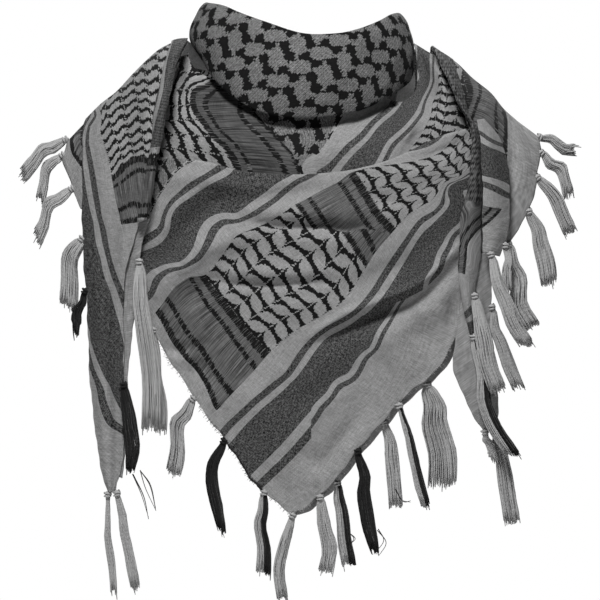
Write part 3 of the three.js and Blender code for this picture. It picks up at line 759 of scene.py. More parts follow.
@dataclass(frozen=True)
class WeaveGroups:
    """The shader node groups of the woven figures, the threads and the wear."""

    star_right: tuple[float, float] = (20.1, -7.9)
    star_up: tuple[float, float] = (-2.1, 20.5)
    star_cell: float = 395.5
    block_lying: tuple[float, float] = (9.9, 5.9)
    block_standing: tuple[float, float] = (6.5, 8.9)
    corner: tuple[float, float] = (2.1, 2.2)
    corners_lying: Rows = ((12.4, -3.0), (-2.6, 9.6))
    corners_standing: Rows = ((-7.7, 4.9), (-0.5, -10.9))
    corner_roundness: float = 3.2
    oval_roundness: float = 2.1
    oval_half_width: float = 0.43
    slit_slant: float = 0.10
    slit_half_width: float = 0.024
    spike_reach: float = 0.68
    bar_wander: float = 7.0

    def build(self) -> None:
        """Builds every group once."""
        self.ragged()
        self.pinwheels()
        self.scales()
        self.bands()
        self.threads()
        self.handling()

    def ragged(self) -> None:
        """Steps a place to the threads, so that a figure's edge is notched along slanting rows."""
        inputs = {"Place": VECTOR, "Pitch": number(1.3), "Notch": number(1.3)}
        t, given, out = new_group("Thread steps", inputs, {"Place": "NodeSocketVector"})
        x, y = t.split(given["Place"])
        along = t.plus(x, y)
        across = t.minus(x, y)
        row = t.maths("FLOOR", t.over(across, given["Pitch"]))
        level = t.times(t.plus(row, 0.5), given["Pitch"])
        swing = t.minus(t.chance(t.join(row, 3.0)), 0.5)
        slide = t.plus(along, t.times(swing, t.times(given["Notch"], 2.0)))
        new_x = t.times(t.plus(slide, level), 0.5)
        new_y = t.times(t.minus(slide, level), 0.5)
        t.feed(out["Place"], t.join(new_x, new_y))

    def pinwheels(self) -> None:
        """Four-armed dark stars between light blocks that lie and stand in turn."""
        t, given, out = new_group("Pinwheel figure", {"Place": VECTOR}, {"Dark": "NodeSocketFloat"})
        x, y = t.split(given["Place"])
        (right_x, right_y), (up_x, up_y), cell = self.star_right, self.star_up, self.star_cell
        u = t.plus(t.times(x, up_y / cell), t.times(y, -up_x / cell))
        v = t.plus(t.times(x, -right_y / cell), t.times(y, right_x / cell))
        iu, iv = t.maths("ROUND", u), t.maths("ROUND", v)
        fu, fv = t.minus(u, iu), t.minus(v, iv)
        dx = t.minus(t.times(fu, right_x), t.times(fv, -up_x))
        dy = t.minus(t.times(fv, up_y), t.times(fu, -right_y))
        standing = t.maths("FLOORED_MODULO", t.plus(iu, iv), 2.0)
        halves = [t.blend(standing, *pair) for pair in zip(self.block_lying, self.block_standing)]
        light = self._block(t, dx, dy, *halves)
        for lying, upright in zip(self.corners_lying, self.corners_standing):
            cx, cy = (t.blend(standing, *pair) for pair in zip(lying, upright))
            for sign in (1.0, -1.0):
                ox = t.minus(dx, t.times(cx, sign))
                oy = t.minus(dy, t.times(cy, sign))
                light = t.either(light, self._block(t, ox, oy, *self.corner))
        t.feed(out["Dark"], t.without(light))

    def _block(self, t: Tree, x: object, y: object, half_x: object, half_y: object) -> bpy.types.NodeSocket:
        """A mask of a block with rounded corners."""
        across = t.rounded(x, half_x, self.corner_roundness)
        return t.below(t.plus(across, t.rounded(y, half_y, self.corner_roundness)), 1.0)

    def scales(self) -> None:
        """Light ovals between dark hooked chains."""
        inputs = {
            "Place": VECTOR, "Length": number(14.6), "Width": number(16.5), "Sway": number(0.0),
            "Oval": number(0.37), "Chain": number(0.11), "Spike": number(0.2), "Lean": number(0.09),
        }
        t, given, out = new_group("Scale figure", inputs, {"Dark": "NodeSocketFloat"})
        s, w = t.split(given["Place"])
        b = t.over(t.minus(w, LAYOUT.border[0]), given["Width"])
        sway = t.times(t.maths("SINE", t.times(b, math.tau)), given["Sway"])
        lean = t.times(t.maths("COSINE", t.times(b, math.pi)), given["Lean"])
        a = t.plus(t.over(s, given["Length"]), t.plus(sway, lean))
        fa = t.minus(a, t.maths("ROUND", a))
        ca = t.minus(fa, t.times(t.maths("SIGN", fa), 0.5))
        row = t.maths("ROUND", b)
        cb = t.minus(b, row)
        fb = t.minus(t.size(cb), 0.5)
        outline = t.rounded(fa, given["Oval"], self.oval_roundness)
        outline = t.plus(outline, t.rounded(fb, self.oval_half_width, self.oval_roundness))
        between = t.above(outline, 1.0)
        chain = t.below(t.size(ca), given["Chain"])
        turned = t.minus(t.times(t.maths("FLOORED_MODULO", row, 2.0), 2.0), 1.0)
        hook = t.above(t.times(ca, turned), 0.0)
        dark = t.times(between, t.either(chain, hook))
        slant = t.minus(cb, t.times(t.times(ca, turned), self.slit_slant))
        slit = t.below(t.size(t.minus(slant, 0.01)), self.slit_half_width)
        slit = t.times(slit, t.above(t.times(ca, turned), -0.09))
        reach = t.maths("FLOORED_MODULO", t.times(t.minus(a, 0.5), turned), 1.0)
        taper = t.times(t.minus(self.spike_reach, reach), given["Spike"])
        dark = t.either(dark, t.above(taper, t.size(cb)))
        t.feed(out["Dark"], t.times(dark, t.without(slit)))

    def bands(self) -> None:
        """Two dark bars each side of a grey field, crossed by fine light threads."""
        inputs = {"Along": number(0.0), "Across": number(0.0), "Start": number(0.0)}
        outputs = {"Bars": "NodeSocketFloat", "Field": "NodeSocketFloat"}
        t, given, out = new_group("Dashed band", inputs, outputs)
        s = t.minus(given["Along"], given["Start"])
        fine = t.join(t.times(s, 0.06), t.times(given["Across"], 0.9), given["Start"])
        s = t.plus(s, t.times(t.minus(t.noise(fine, 1.0, 2.0), 0.5), self.bar_wander))
        t.feed(out["Bars"], t.within_any(s, LAYOUT.bars))
        t.feed(out["Field"], t.within(s, *LAYOUT.band))

    def threads(self) -> None:
        """Plain weave: raised crossings of warp and weft, with slubs along both."""
        inputs = {"Place": VECTOR, "Pitch": number(0.95)}
        outputs = {"Height": "NodeSocketFloat", "Tone": "NodeSocketFloat", "Speckle": "NodeSocketFloat"}
        t, given, out = new_group("Threads", inputs, outputs)
        x, y = t.split(given["Place"])
        wave_x = t.maths("SINE", t.times(t.over(x, given["Pitch"]), math.pi))
        wave_y = t.maths("SINE", t.times(t.over(y, given["Pitch"]), math.pi))
        crossing = t.times(wave_x, wave_y)
        slub_x = t.noise(t.join(t.times(x, 0.10), t.times(y, 1.5)), 1.0, 2.0)
        slub_y = t.noise(t.join(t.times(x, 1.5), t.times(y, 0.10), 7.0), 1.0, 2.0)
        slub = t.minus(t.plus(slub_x, slub_y), 1.0)
        height = t.plus(t.times(crossing, 0.30), slub)
        t.feed(out["Height"], t.plus(t.times(height, 0.5), 0.5))
        t.feed(out["Tone"], t.plus(1.0, t.times(slub, 0.9)))
        warp = t.noise(t.join(t.times(x, 0.95), t.times(y, 0.36), 3.0), 1.0, 1.0)
        weft = t.noise(t.join(t.times(x, 0.36), t.times(y, 0.95), 9.0), 1.0, 1.0)
        grain = t.minus(t.plus(warp, weft), 1.0)
        t.feed(out["Speckle"], t.times(t.plus(grain, t.times(crossing, 0.20)), 3.0))

    def handling(self) -> None:
        """Broad unevenness of a washed cloth: soft pale and dark patches, and fine crumpling."""
        outputs = {"Tone": "NodeSocketFloat", "Crumple": "NodeSocketFloat"}
        t, given, out = new_group("Handling", {"Place": VECTOR}, outputs)
        broad = t.noise(given["Place"], 0.02, 3.0)
        fine = t.noise(given["Place"], 0.11, 4.0)
        tone = t.plus(t.times(broad, 0.22), t.times(fine, 0.14))
        t.feed(out["Tone"], t.plus(tone, 0.82))
        t.feed(out["Crumple"], t.plus(t.times(fine, 0.6), t.times(broad, 0.4)))


def empty_material(name: str) -> tuple[bpy.types.Material, Tree]:
    """A new material and its empty tree.

    Args:
        name: The material's name.

    Returns:
        The material, and the tree to lay its nodes in.
    """
    made = bpy.data.materials.new(name)
    made.use_nodes = True
    made.node_tree.nodes.clear()
    return made, Tree(made.node_tree)


class Centre(Enum):
    """What the cloth's middle shows beyond its inner stripes."""

    PINWHEELS = 0
    SCALES = 1


@dataclass(frozen=True)
class Cotton:
    """Woven cotton with its stripes, bands and figures, as one material."""

    name: str
    light: float = 0.25
    shade: float = 0.058
    dark: float = 0.008
    field: float = 0.098
    scale_length: float = 13.4
    scale_width: float = 16.5
    sway: float = 0.0
    oval: float = 0.38
    chain: float = 0.16
    spike: float = 0.24
    lean: float = 0.09
    second_band: float = 182.0
    centre_tone: float = 0.54
    twill_pitch: float = 3.1
    centre: Centre = Centre.PINWHEELS
    fringe_plain: float = 18.0
    plain_grain: float = 0.16
    shade_grain: float = 1.2
    shade_least: float = 0.14
    twill_depth: float = 0.12
    twill_grain: float = 0.22

    def material(self) -> bpy.types.Material:
        """Builds the material.

        Returns:
            A matt cotton whose colour comes from the place in the weave.
        """
        made, t = empty_material(self.name)
        s, w, place = self._place(t)
        mask_dark, mask_shade, mask_field = self._masks(t, s, w, place)
        threads = t.group("Threads", place=place)
        handling = t.group("Handling", place=place)
        tone = t.times(threads.outputs["Tone"], handling.outputs["Tone"])
        speckle = threads.outputs["Speckle"]
        plain = t.times(t.plus(1.0, t.times(speckle, self.plain_grain)), self.light)
        shaded = t.either(t.plus(1.0, t.times(speckle, self.shade_grain)), self.shade_least)
        slope = t.maths("SINE", t.times(t.minus(w, s), math.tau / self.twill_pitch))
        grainy = t.plus(t.times(slope, self.twill_depth), t.times(speckle, self.twill_grain))
        twilled = t.times(plain, t.plus(self.centre_tone, grainy))
        plain = t.blend(t.above(w, LAYOUT.twill), plain, twilled)
        value = t.blend(mask_field, plain, self._field_tone(t, s, w))
        value = t.blend(mask_shade, value, t.times(shaded, self.shade))
        value = t.blend(mask_dark, value, self._bar_tone(t, s, w, mask_field))
        value = t.times(value, tone)
        self._finish(t, value, threads.outputs["Height"], handling.outputs["Crumple"])
        return made

    def _place(self, t: Tree) -> tuple:
        """Reads the place in the weave, in millimetres along, across and as a vector.

        Args:
            t: The material's tree.

        Returns:
            Millimetres along, millimetres across, and both as a vector.
        """
        first = t.split(t.node("ShaderNodeUVMap", uv_map="weave").outputs[0])
        turned = t.split(t.node("ShaderNodeUVMap", uv_map="weave_turned").outputs[0])
        along = t.node("ShaderNodeAttribute", attribute_name="turn_along").outputs["Fac"]
        across = t.node("ShaderNodeAttribute", attribute_name="turn_across").outputs["Fac"]
        s = t.times(t.blend(t.above(along, 0.0), first[0], turned[0]), MAP_STEP)
        w = t.times(t.blend(t.above(across, 0.0), first[1], turned[1]), MAP_STEP)
        return s, w, t.join(s, w)

    def _masks(self, t: Tree, s: object, w: object, place: object) -> tuple:
        """Masks of the dark figures, the shaded stripes and the grey field of the bands.

        Args:
            t: The material's tree.
            s: Millimetres along the weave.
            w: Millimetres across the weave.
            place: Both as a vector.

        Returns:
            The masks of dark, of shaded and of grey.
        """
        shade = t.within_any(w, LAYOUT.shaded)
        figured = t.either(t.within(w, *LAYOUT.border), t.above(w, LAYOUT.centre))
        figured = t.times(figured, t.above(s, self.fringe_plain))
        first = t.group("Dashed band", along=s, across=w, start=0.0)
        second = t.group("Dashed band", along=s, across=w, start=self.second_band)
        field = t.times(t.either(first.outputs["Field"], second.outputs["Field"]), figured)
        bars = t.times(t.either(first.outputs["Bars"], second.outputs["Bars"]), figured)
        stepped = t.group("Thread steps", place=place, pitch=1.5, notch=1.1)
        scales = t.group(
            "Scale figure", place=stepped.outputs[0], length=self.scale_length, width=self.scale_width,
            sway=self.sway, oval=self.oval, chain=self.chain, spike=self.spike, lean=self.lean,
        )
        figure = scales.outputs["Dark"]
        if self.centre is Centre.PINWHEELS:
            own = t.node("ShaderNodeUVMap", uv_map="figure").outputs[0]
            grown = t.node("ShaderNodeVectorMath", operation="SCALE")
            t.feed(grown.inputs[0], own)
            grown.inputs["Scale"].default_value = MAP_STEP
            notched = t.group("Thread steps", place=grown.outputs[0], pitch=1.7, notch=2.1)
            stars = t.group("Pinwheel figure", place=notched.outputs[0])
            figure = t.blend(t.above(w, LAYOUT.centre), figure, stars.outputs["Dark"])
        figure = t.times(t.times(figure, figured), t.without(field))
        return t.either(figure, bars), shade, field

    def _field_tone(self, t: Tree, s: object, w: object) -> bpy.types.NodeSocket:
        """Grey of a band's field, crossed by uneven light threads.

        Args:
            t: The material's tree.
            s: Millimetres along the weave.
            w: Millimetres across the weave.

        Returns:
            The grey.
        """
        lines = t.noise(t.join(t.times(s, 0.025), t.times(w, 1.4)), 1.0, 2.0)
        lit = t.either(t.minus(t.times(lines, 4.0), 1.0), 0.3)
        return t.times(lit, self.field)

    def _bar_tone(self, t: Tree, s: object, w: object, band: object) -> bpy.types.NodeSocket:
        """Near black, with light threads across the bars of a band.

        Args:
            t: The material's tree.
            s: Millimetres along the weave.
            w: Millimetres across the weave.
            band: The mask of the bands' grey field.

        Returns:
            The grey.
        """
        lines = t.noise(t.join(t.times(s, 0.05), t.times(w, 1.6), 4.0), 1.0, 2.0)
        shown = t.times(t.minus(lines, 0.585), 16.0)
        shown = t.times(t.maths("MINIMUM", t.either(shown, 0.0), 1.0), band)
        return t.blend(shown, self.dark, 0.16)

    @staticmethod
    def _finish(t: Tree, value: object, height: object, crumple: object) -> None:
        """Dresses the shader with the colour, the thread relief and a soft bloom of fibres.

        Args:
            t: The material's tree.
            value: The colour's grey.
            height: The threads' height.
            crumple: The crumpling's height.
        """
        shader = t.matt(value, roughness=0.92, specular=0.08, sheen=0.025)
        fine = t.bump(height, strength=0.5, distance=0.0003)
        coarse = t.bump(crumple, strength=0.5, distance=0.004)
        t.feed(coarse.inputs["Normal"], fine.outputs[0])
        t.show(shader, coarse)


@dataclass(frozen=True)
class Yarn:
    """Loose cotton yarn of the tassels: each strand has its own tone."""

    name: str
    tone: float
    spread: float = 0.35

    def material(self) -> bpy.types.Material:
        """Builds the material.

        Returns:
            A matt yarn, with twist and fine fibre noise along the strands.
        """
        made, t = empty_material(self.name)
        along, own = t.split(t.node("ShaderNodeUVMap", uv_map="strand").outputs[0])
        twist = t.maths("SINE", t.times(along, 260.0))
        fibre = t.noise(t.join(t.times(along, 30.0), t.times(own, 90.0)), 1.0, 3.0)
        lift = t.times(t.minus(own, 0.5), self.spread)
        value = t.plus(t.plus(0.82, t.times(fibre, 0.36)), lift)
        value = t.times(value, self.tone)
        shader = t.matt(value, roughness=0.9, specular=0.2, sheen=0.08)
        relief = t.plus(t.times(twist, 0.3), fibre)
        t.show(shader, t.bump(relief, strength=0.4, distance=0.0004))
        return made


# Collar


# Angle, height of the upper edge, height of the lower edge.
COLLAR_ROWS = (
    (-180, 46, 8), (-135, 60, 16), (-112, 74, 38), (-90, 86, 47), (-72, 86, 40), (-54, 83, 18),
    (-41, 77, 4), (-22, 68, -11), (0, 58, -16), (20, 58, -13), (34, 62, -8), (50, 69, 2),
    (66, 76, 11), (85, 77, 20), (105, 71, 32), (135, 57, 18), (180, 46, 8),
)
# Angle, slant over the whole height in degrees, how far the fold stands out, half width in degrees.
COLLAR_FOLDS = (
    (-66, 30, 3.5, 13), (-34, -22, -2.5, 10), (6, 26, 2.5, 14), (44, -30, -3, 11),
    (74, 20, 2.5, 10), (128, -24, 3, 14), (-140, 24, 3, 14), (176, 20, -2.5, 12),
)
COLLAR_FINE_FOLDS = (
    (-52, 40, 1.4, 5), (-20, -34, -1.1, 4), (-8, 30, 1.0, 5), (22, 36, 1.2, 5), (32, -38, -1.1, 4),
    (58, 30, 1.3, 5), (-84, 24, 1.2, 5), (92, -26, -1.2, 5), (112, 28, 1.4, 6), (150, -30, 1.3, 6),
    (-118, -26, -1.4, 6), (-160, 30, 1.2, 6),
)
# Share of the way up, inset.
COLLAR_PROFILE = (
    (0.13, 9), (0.02, 6), (0, 1.5), (0.12, 0), (0.38, 0), (0.64, 0), (0.9, -0.6), (1, 1.2), (0.97, 6),
)
STAR_CENTRE = (10.6, 28.6)


@dataclass
class Collar:
    """The stretch wound round the neck, turned under below and folded in above."""

    centre_x: float = -8.0
    half_top: float = 88.0
    half_low: float = 98.0
    front_top: float = 78.0
    front_low: float = 88.0
    back_top: float = 72.0
    back_low: float = 84.0
    bulge: float = 5.0
    sections: int = 260
    stops: int = 46
    wall: float = 2.6
    figure_radius: float = 92.0
    profile_scale: float = 30.0

    def point(self, degrees: Array, height: Array, inset: Array) -> Array:
        """Points of the outer face, by angle, by height between the edges and by inset.

        Args:
            degrees: Angles round the neck, 0 in front.
            height: Shares of the way from the lower to the upper edge.
            inset: Millimetres in from the outer face.

        Returns:
            The points.
        """
        angle = np.radians(degrees)
        top, low = smooth(COLLAR_ROWS, 1, degrees), smooth(COLLAR_ROWS, 2, degrees)
        share = np.clip(height, 0, 1)
        half = self.half_low + (self.half_top - self.half_low) * share
        front = np.cos(angle) > 0
        depth_low = np.where(front, self.front_low, self.back_low)
        depth_top = np.where(front, self.front_top, self.back_top)
        depth = depth_low + (depth_top - depth_low) * share
        out = self.bulge * np.sin(math.pi * share) - inset + self.relief(degrees, share)
        x = self.centre_x + (half + out) * np.sin(angle)
        y = -(depth + out) * np.cos(angle)
        return np.stack(np.broadcast_arrays(x, y, low + (top - low) * height), axis=-1)

    def relief(self, degrees: Array, share: Array) -> Array:
        """How far the slanted folds stand out.

        Args:
            degrees: Angles round the neck.
            share: Shares of the way up.

        Returns:
            Millimetres outward at each place.
        """
        total = np.zeros(np.broadcast(degrees, share).shape)
        for angle, slant, lift, width in COLLAR_FOLDS + COLLAR_FINE_FOLDS:
            away = (degrees - angle - slant * (share - 0.5) + 540) % 360 - 180
            total += lift * np.exp(-((away / width) ** 2)) * np.sin(math.pi * share)
        return total

    def build(self, material: bpy.types.Material) -> bpy.types.Object:
        """Builds the collar as a ring of cloth.

        Args:
            material: What the piece is made of.

        Returns:
            The piece, in metres.
        """
        degrees = -180 + 360 * np.arange(self.sections) / self.sections
        corners = np.asarray(COLLAR_PROFILE, float)[None] * (self.profile_scale, 1)
        profile = line_through(corners, np.linspace(0, 1, self.stops))[0]
        height, inset = profile[:, 0] / self.profile_scale, profile[:, 1]
        grid = self.point(degrees[:, None], height[None, :], inset[None, :])
        steps = np.linalg.norm(np.diff(grid, axis=1), axis=2)
        rise = np.concatenate([np.zeros((self.sections, 1)), np.cumsum(steps, axis=1)], axis=1)
        middle = self.stops // 2
        level = rise - rise[:, middle : middle + 1] + grid[:, middle : middle + 1, 2]
        arc = np.radians(degrees)[:, None] * self.figure_radius + np.zeros_like(rise)
        figure = np.stack([arc + self.centre_x + STAR_CENTRE[0], level - STAR_CENTRE[1]], axis=-1)
        weave = figure + (600.0, 500.0)
        cloth = Cloth(grid, weave, figure=figure, ring=True)
        return cloth.shell("collar_cloth", self.wall, material)


# Throat drape


# Angle, inset under the collar, rise over the collar's lower edge, place of the end across and up.
THROAT_ROWS = (
    (-92, -3, -4, -126, 32), (-80, -4, -8, -134, 8), (-70, -1, -12, -139, -22),
    (-60, 8, -8, -140, -52), (-50, 10.8, 3, -124, -68), (-40, 10.8, 8, -98, -73),
    (-28, 10.8, 8, -70, -77), (-12, 10.8, 8, -36, -81), (4, 10.8, 8, -2, -82),
    (20, 10.8, 8, 32, -76), (36, 10.8, 8, 62, -70), (48, 10.8, 6, 88, -60),
    (58, 10.8, -5, 108, -52), (66, 2, -12, 124, -43), (74, -5, -6, 140, -34),
    (82, -4, 8, 148, -16), (90, -1.6, 22, 136, 8), (98, -1.6, 22, 120, 33),
)
THROAT_CREASES = (
    Crease(((208, 66), (226, 120), (242, 166)), -5.0, 7.0),
    Crease(((192, 66), (206, 110), (221, 157)), 4.6, 8.0),
    Crease(((246, 108), (258, 140), (271, 170)), 4.0, 9.0),
    Crease(((396, 98), (384, 130), (369, 159)), -5.0, 8.0),
    Crease(((417, 75), (411, 110), (403, 145)), 4.6, 8.0),
    Crease(((442, 89), (438, 110), (432, 132)), -5.0, 8.0),
    Crease(((184, 56), (178, 90), (174, 140)), 3.6, 5.0),
    Crease(((176, 100), (168, 130), (170, 156)), -9.0, 9.0),
    Crease(((200, 60), (196, 92), (206, 120), (222, 146)), -3.0, 3.5),
    Crease(((222, 112), (238, 134), (252, 160)), 2.4, 4.0),
    Crease(((262, 118), (278, 142), (290, 168)), -3.2, 5.0),
    Crease(((352, 118), (334, 142), (316, 166)), 2.4, 6.0),
    Crease(((404, 92), (380, 122), (352, 158)), -2.6, 4.0),
    Crease(((430, 74), (426, 104), (410, 132), (396, 152)), 2.8, 4.0),
    Crease(((440, 70), (444, 96), (446, 118)), 3.0, 4.0),
    Crease(((452, 76), (458, 98), (462, 120)), -3.4, 5.0),
)
THROAT_ACROSS = charted(
    (326, (300, 172)), (330, (318, 140)), (350, (300, 120)),
    (313, (345, 113), (330, 138), (312, 158), (302, 171)),
    (291.5, (391, 107), (360, 138), (326, 172), (412, 60)),
    (281, (418, 44), (420, 76), (399, 107), (370, 138), (341, 170)),
    (248, (431, 50), (430, 80), (416, 111), (387, 142), (374, 165)),
    (236.5, (435, 52), (434, 80), (422, 113), (403, 136), (385, 161)),
    (215, (441, 60), (438, 79), (432, 104), (426, 125), (419, 138), (408, 152), (400, 165)),
    (180, (470, 60)), (172, (470, 100)), (168, (465, 130)), (185, (445, 140)), (380, (260, 112)),
    (285, (404, 94), (411, 84), (415, 70)), (290, (398, 84)),
)
THROAT_ALONG = charted(
    (300, (300, 172)), (305, (330, 168)), (318, (374, 165)), (352, (345, 113)), (372, (391, 107)),
    (335, (360, 138)), (420, (431, 80)), (382, (416, 111)), (452, (419, 44), (434, 52), (470, 60)),
    (405, (470, 100)), (372, (460, 135)), (330, (400, 160), (260, 112)),
)
THROAT_LEFT_ALONG = charted(
    (20.5, (257, 115), (272, 132), (292, 153), (299, 170)),
    (33.5, (240, 113), (257, 134), (274, 153), (286, 174)),
    (69.5, (206, 108), (223, 134), (240, 151), (251, 172)),
    (82.5, (194, 92), (205, 124), (226, 147), (238, 168)), (98, (184, 92)), (114, (168, 100)),
    (122, (166, 140)), (110, (190, 160)), (96, (215, 170)), (98, (196, 62)), (94, (206, 76)),
    (104, (190, 46)), (116, (176, 60)),
)
THROAT_LEFT_ACROSS = charted(
    (202, (240, 60)), (206, (190, 50)), (172, (165, 100)), (160, (230, 110)), (128, (170, 150)),
    (122, (240, 170)), (124, (299, 172)), (152, (270, 120)), (146, (205, 130)),
)
THROAT_PARTING = ((236, 90), (257, 115), (272, 132), (292, 153), (299, 170), (302, 182))


@dataclass
class ThroatDrape:
    """The cowl of cloth between the collar and the bib."""

    collar: Collar
    lift: float = 0.0
    tuck: float = 12.0
    below_collar: float = 8.0
    steepest: float = 3.0
    second_at: float = 0.12
    middle_at: tuple[float, float] = (0.38, 0.7)
    fade_above: float = 0.25
    fade_below: float = 0.12
    edge_z: float = 20.0
    edge_across: float = 208.0
    lines: int = 190
    steps: int = 90
    thickness: float = 1.2

    def build(self, material: bpy.types.Material) -> bpy.types.Object:
        """Builds the drape from its lines.

        Args:
            material: What the piece is made of.

        Returns:
            The piece, in metres.
        """
        degrees = np.linspace(THROAT_ROWS[0][0], THROAT_ROWS[-1][0], self.lines)
        inset, rise = smooth(THROAT_ROWS, 1, degrees), smooth(THROAT_ROWS, 2, degrees)
        low = smooth(COLLAR_ROWS, 2, degrees)
        first = self.collar.point(degrees, np.zeros_like(degrees), inset)
        first[:, 2] = low + rise
        end_x, end_z = smooth(THROAT_ROWS, 3, degrees), smooth(THROAT_ROWS, 4, degrees)
        end = np.stack([end_x, degrees * 0, end_z], axis=1)
        end[:, 1] = FIGURE.front(end[:, 0], end[:, 2], self.lift)
        share = np.clip(inset / self.tuck, 0, 1)
        tucked = (share * share * (3 - 2 * share))[:, None]
        beneath = first.copy()
        beneath[:, 2] = np.minimum(low - self.below_collar, first[:, 2] - self.steepest)
        second = first + self.second_at * (end - first)
        second = second + tucked * (beneath - second)
        corners = [first, second]
        for part in self.middle_at:
            point = second + part * (end - second)
            point[:, 1] = np.minimum(FIGURE.front(point[:, 0], point[:, 2], self.lift), point[:, 1])
            corners.append(point)
        corners.append(end)
        grid = line_through(np.stack(corners, axis=1), np.linspace(1, 0, self.steps))
        x, z = grid[..., 0], grid[..., 2]
        shares = np.linspace(1, 0, self.steps)[None, :]
        ease = np.clip(shares / self.fade_above, 0, 1) * np.clip((1 - shares) / self.fade_below, 0, 1)
        grid[..., 1] -= relief_of(THROAT_CREASES, x, z) * ease
        along, across = Field(THROAT_ALONG).at(x, z), Field(THROAT_ACROSS).at(x, z)
        left_along, left_across = Field(THROAT_LEFT_ALONG).at(x, z), Field(THROAT_LEFT_ACROSS).at(x, z)
        parting = -right_of(THROAT_PARTING, x, z)
        left_across = np.where(z > self.edge_z, np.minimum(left_across, self.edge_across), left_across)
        cloth = Cloth(
            grid,
            np.stack([along, across], axis=-1),
            weave_turned=np.stack([left_along, left_across], axis=-1),
            figure=np.stack([x + STAR_CENTRE[0], z - STAR_CENTRE[1]], axis=-1),
            turn_along=parting,
            turn_across=parting,
        )
        return cloth.shell("throat_cloth", self.thickness, material)


# Bib


# Place across, height of the top, height of the hem.
BIB_ROWS = (
    (-152, -34, -160), (-140, -48, -199), (-118, -52, -240), (-92, -55, -277), (-66, -62, -311),
    (-44, -65, -341), (-17, -66, -362), (7, -65, -348), (34, -62, -314), (65, -54, -277),
    (90, -43, -254), (113, -32, -233), (130, -27, -200), (152, -20, -150),
)
BIB_CREASES = (
    Crease(((250, 222), (266, 226), (298, 228), (328, 227), (345, 231), (372, 227)), -5.0, 5.0, 0.7),
    Crease(((240, 212), (300, 213), (345, 215), (376, 208)), 4.0, 8.0),
    Crease(((290, 240), (320, 243), (352, 246)), 3.0, 8.0),
    Crease(((212, 280), (234, 285), (269, 286), (296, 284), (333, 283)), -4.2, 4.5, 0.7),
    Crease(((214, 270), (250, 273), (300, 273), (330, 270)), 3.0, 7.0),
    Crease(((150, 300), (176, 270), (204, 250), (236, 238), (262, 232)), 6.5, 10.0),
    Crease(((150, 268), (172, 252), (190, 226), (214, 206), (240, 200)), -6.0, 11.0),
    Crease(((168, 316), (196, 292), (230, 268)), -4.0, 9.0),
    Crease(((160, 180), (196, 178), (240, 186), (280, 186)), 3.6, 9.0),
    Crease(((458, 246), (424, 279), (407, 289), (345, 313), (310, 334)), 8.0, 6.5, 0.45),
    Crease(((458, 262), (424, 296), (407, 306), (345, 330), (312, 348)), -7.0, 7.0),
    Crease(((445, 228), (410, 262), (360, 284), (330, 296)), -4.0, 11.0),
    Crease(((456, 282), (430, 306), (398, 330), (360, 352)), 4.0, 12.0),
    Crease(((291, 451), (325, 462), (350, 430), (365, 400)), -5.0, 9.0),
    Crease(((318, 486), (346, 452), (376, 416)), 3.4, 9.0),
    Crease(((232, 384), (271, 418), (294, 475)), 4.5, 15.0),
    Crease(((262, 470), (276, 480), (292, 500)), -2.6, 7.0),
    Crease(((296, 404), (318, 394), (350, 366)), -3.0, 11.0),
    Crease(((380, 327), (400, 357), (416, 377)), 4.5, 12.0),
    Crease(((410, 316), (430, 340), (436, 364)), -4.2, 11.0),
    Crease(((165, 345), (180, 352), (216, 340)), -3.6, 5.0),
    Crease(((168, 362), (186, 358), (206, 352)), 2.2, 4.0),
    Crease(((158, 240), (170, 222), (180, 204), (206, 186)), 2.2, 6.0),
    Crease(((255, 198), (290, 194), (330, 186)), -3.0, 8.0),
    Crease(((350, 186), (380, 200), (405, 206)), -2.6, 7.0),
    Crease(((366, 236), (386, 216), (408, 204)), 2.6, 8.0),
    Crease(((385, 168), (410, 176), (440, 170)), 2.4, 7.0),
    Crease(((420, 160), (446, 150), (466, 140)), -2.8, 6.0),
    Crease(((262, 306), (296, 308), (330, 300)), 2.0, 8.0),
    Crease(((240, 330), (262, 345), (276, 340)), -2.0, 7.0),
    Crease(((452, 290), (452, 310), (446, 336)), -4.0, 7.0),
    Crease(((300, 440), (316, 410), (344, 386)), 2.4, 8.0),
    Crease(((244, 400), (262, 390), (280, 364)), 1.8, 6.0),
    Crease(((188, 376), (204, 366), (214, 380)), -2.2, 5.0),
    Crease(((206, 404), (222, 398), (232, 410)), 2.0, 5.0),
)
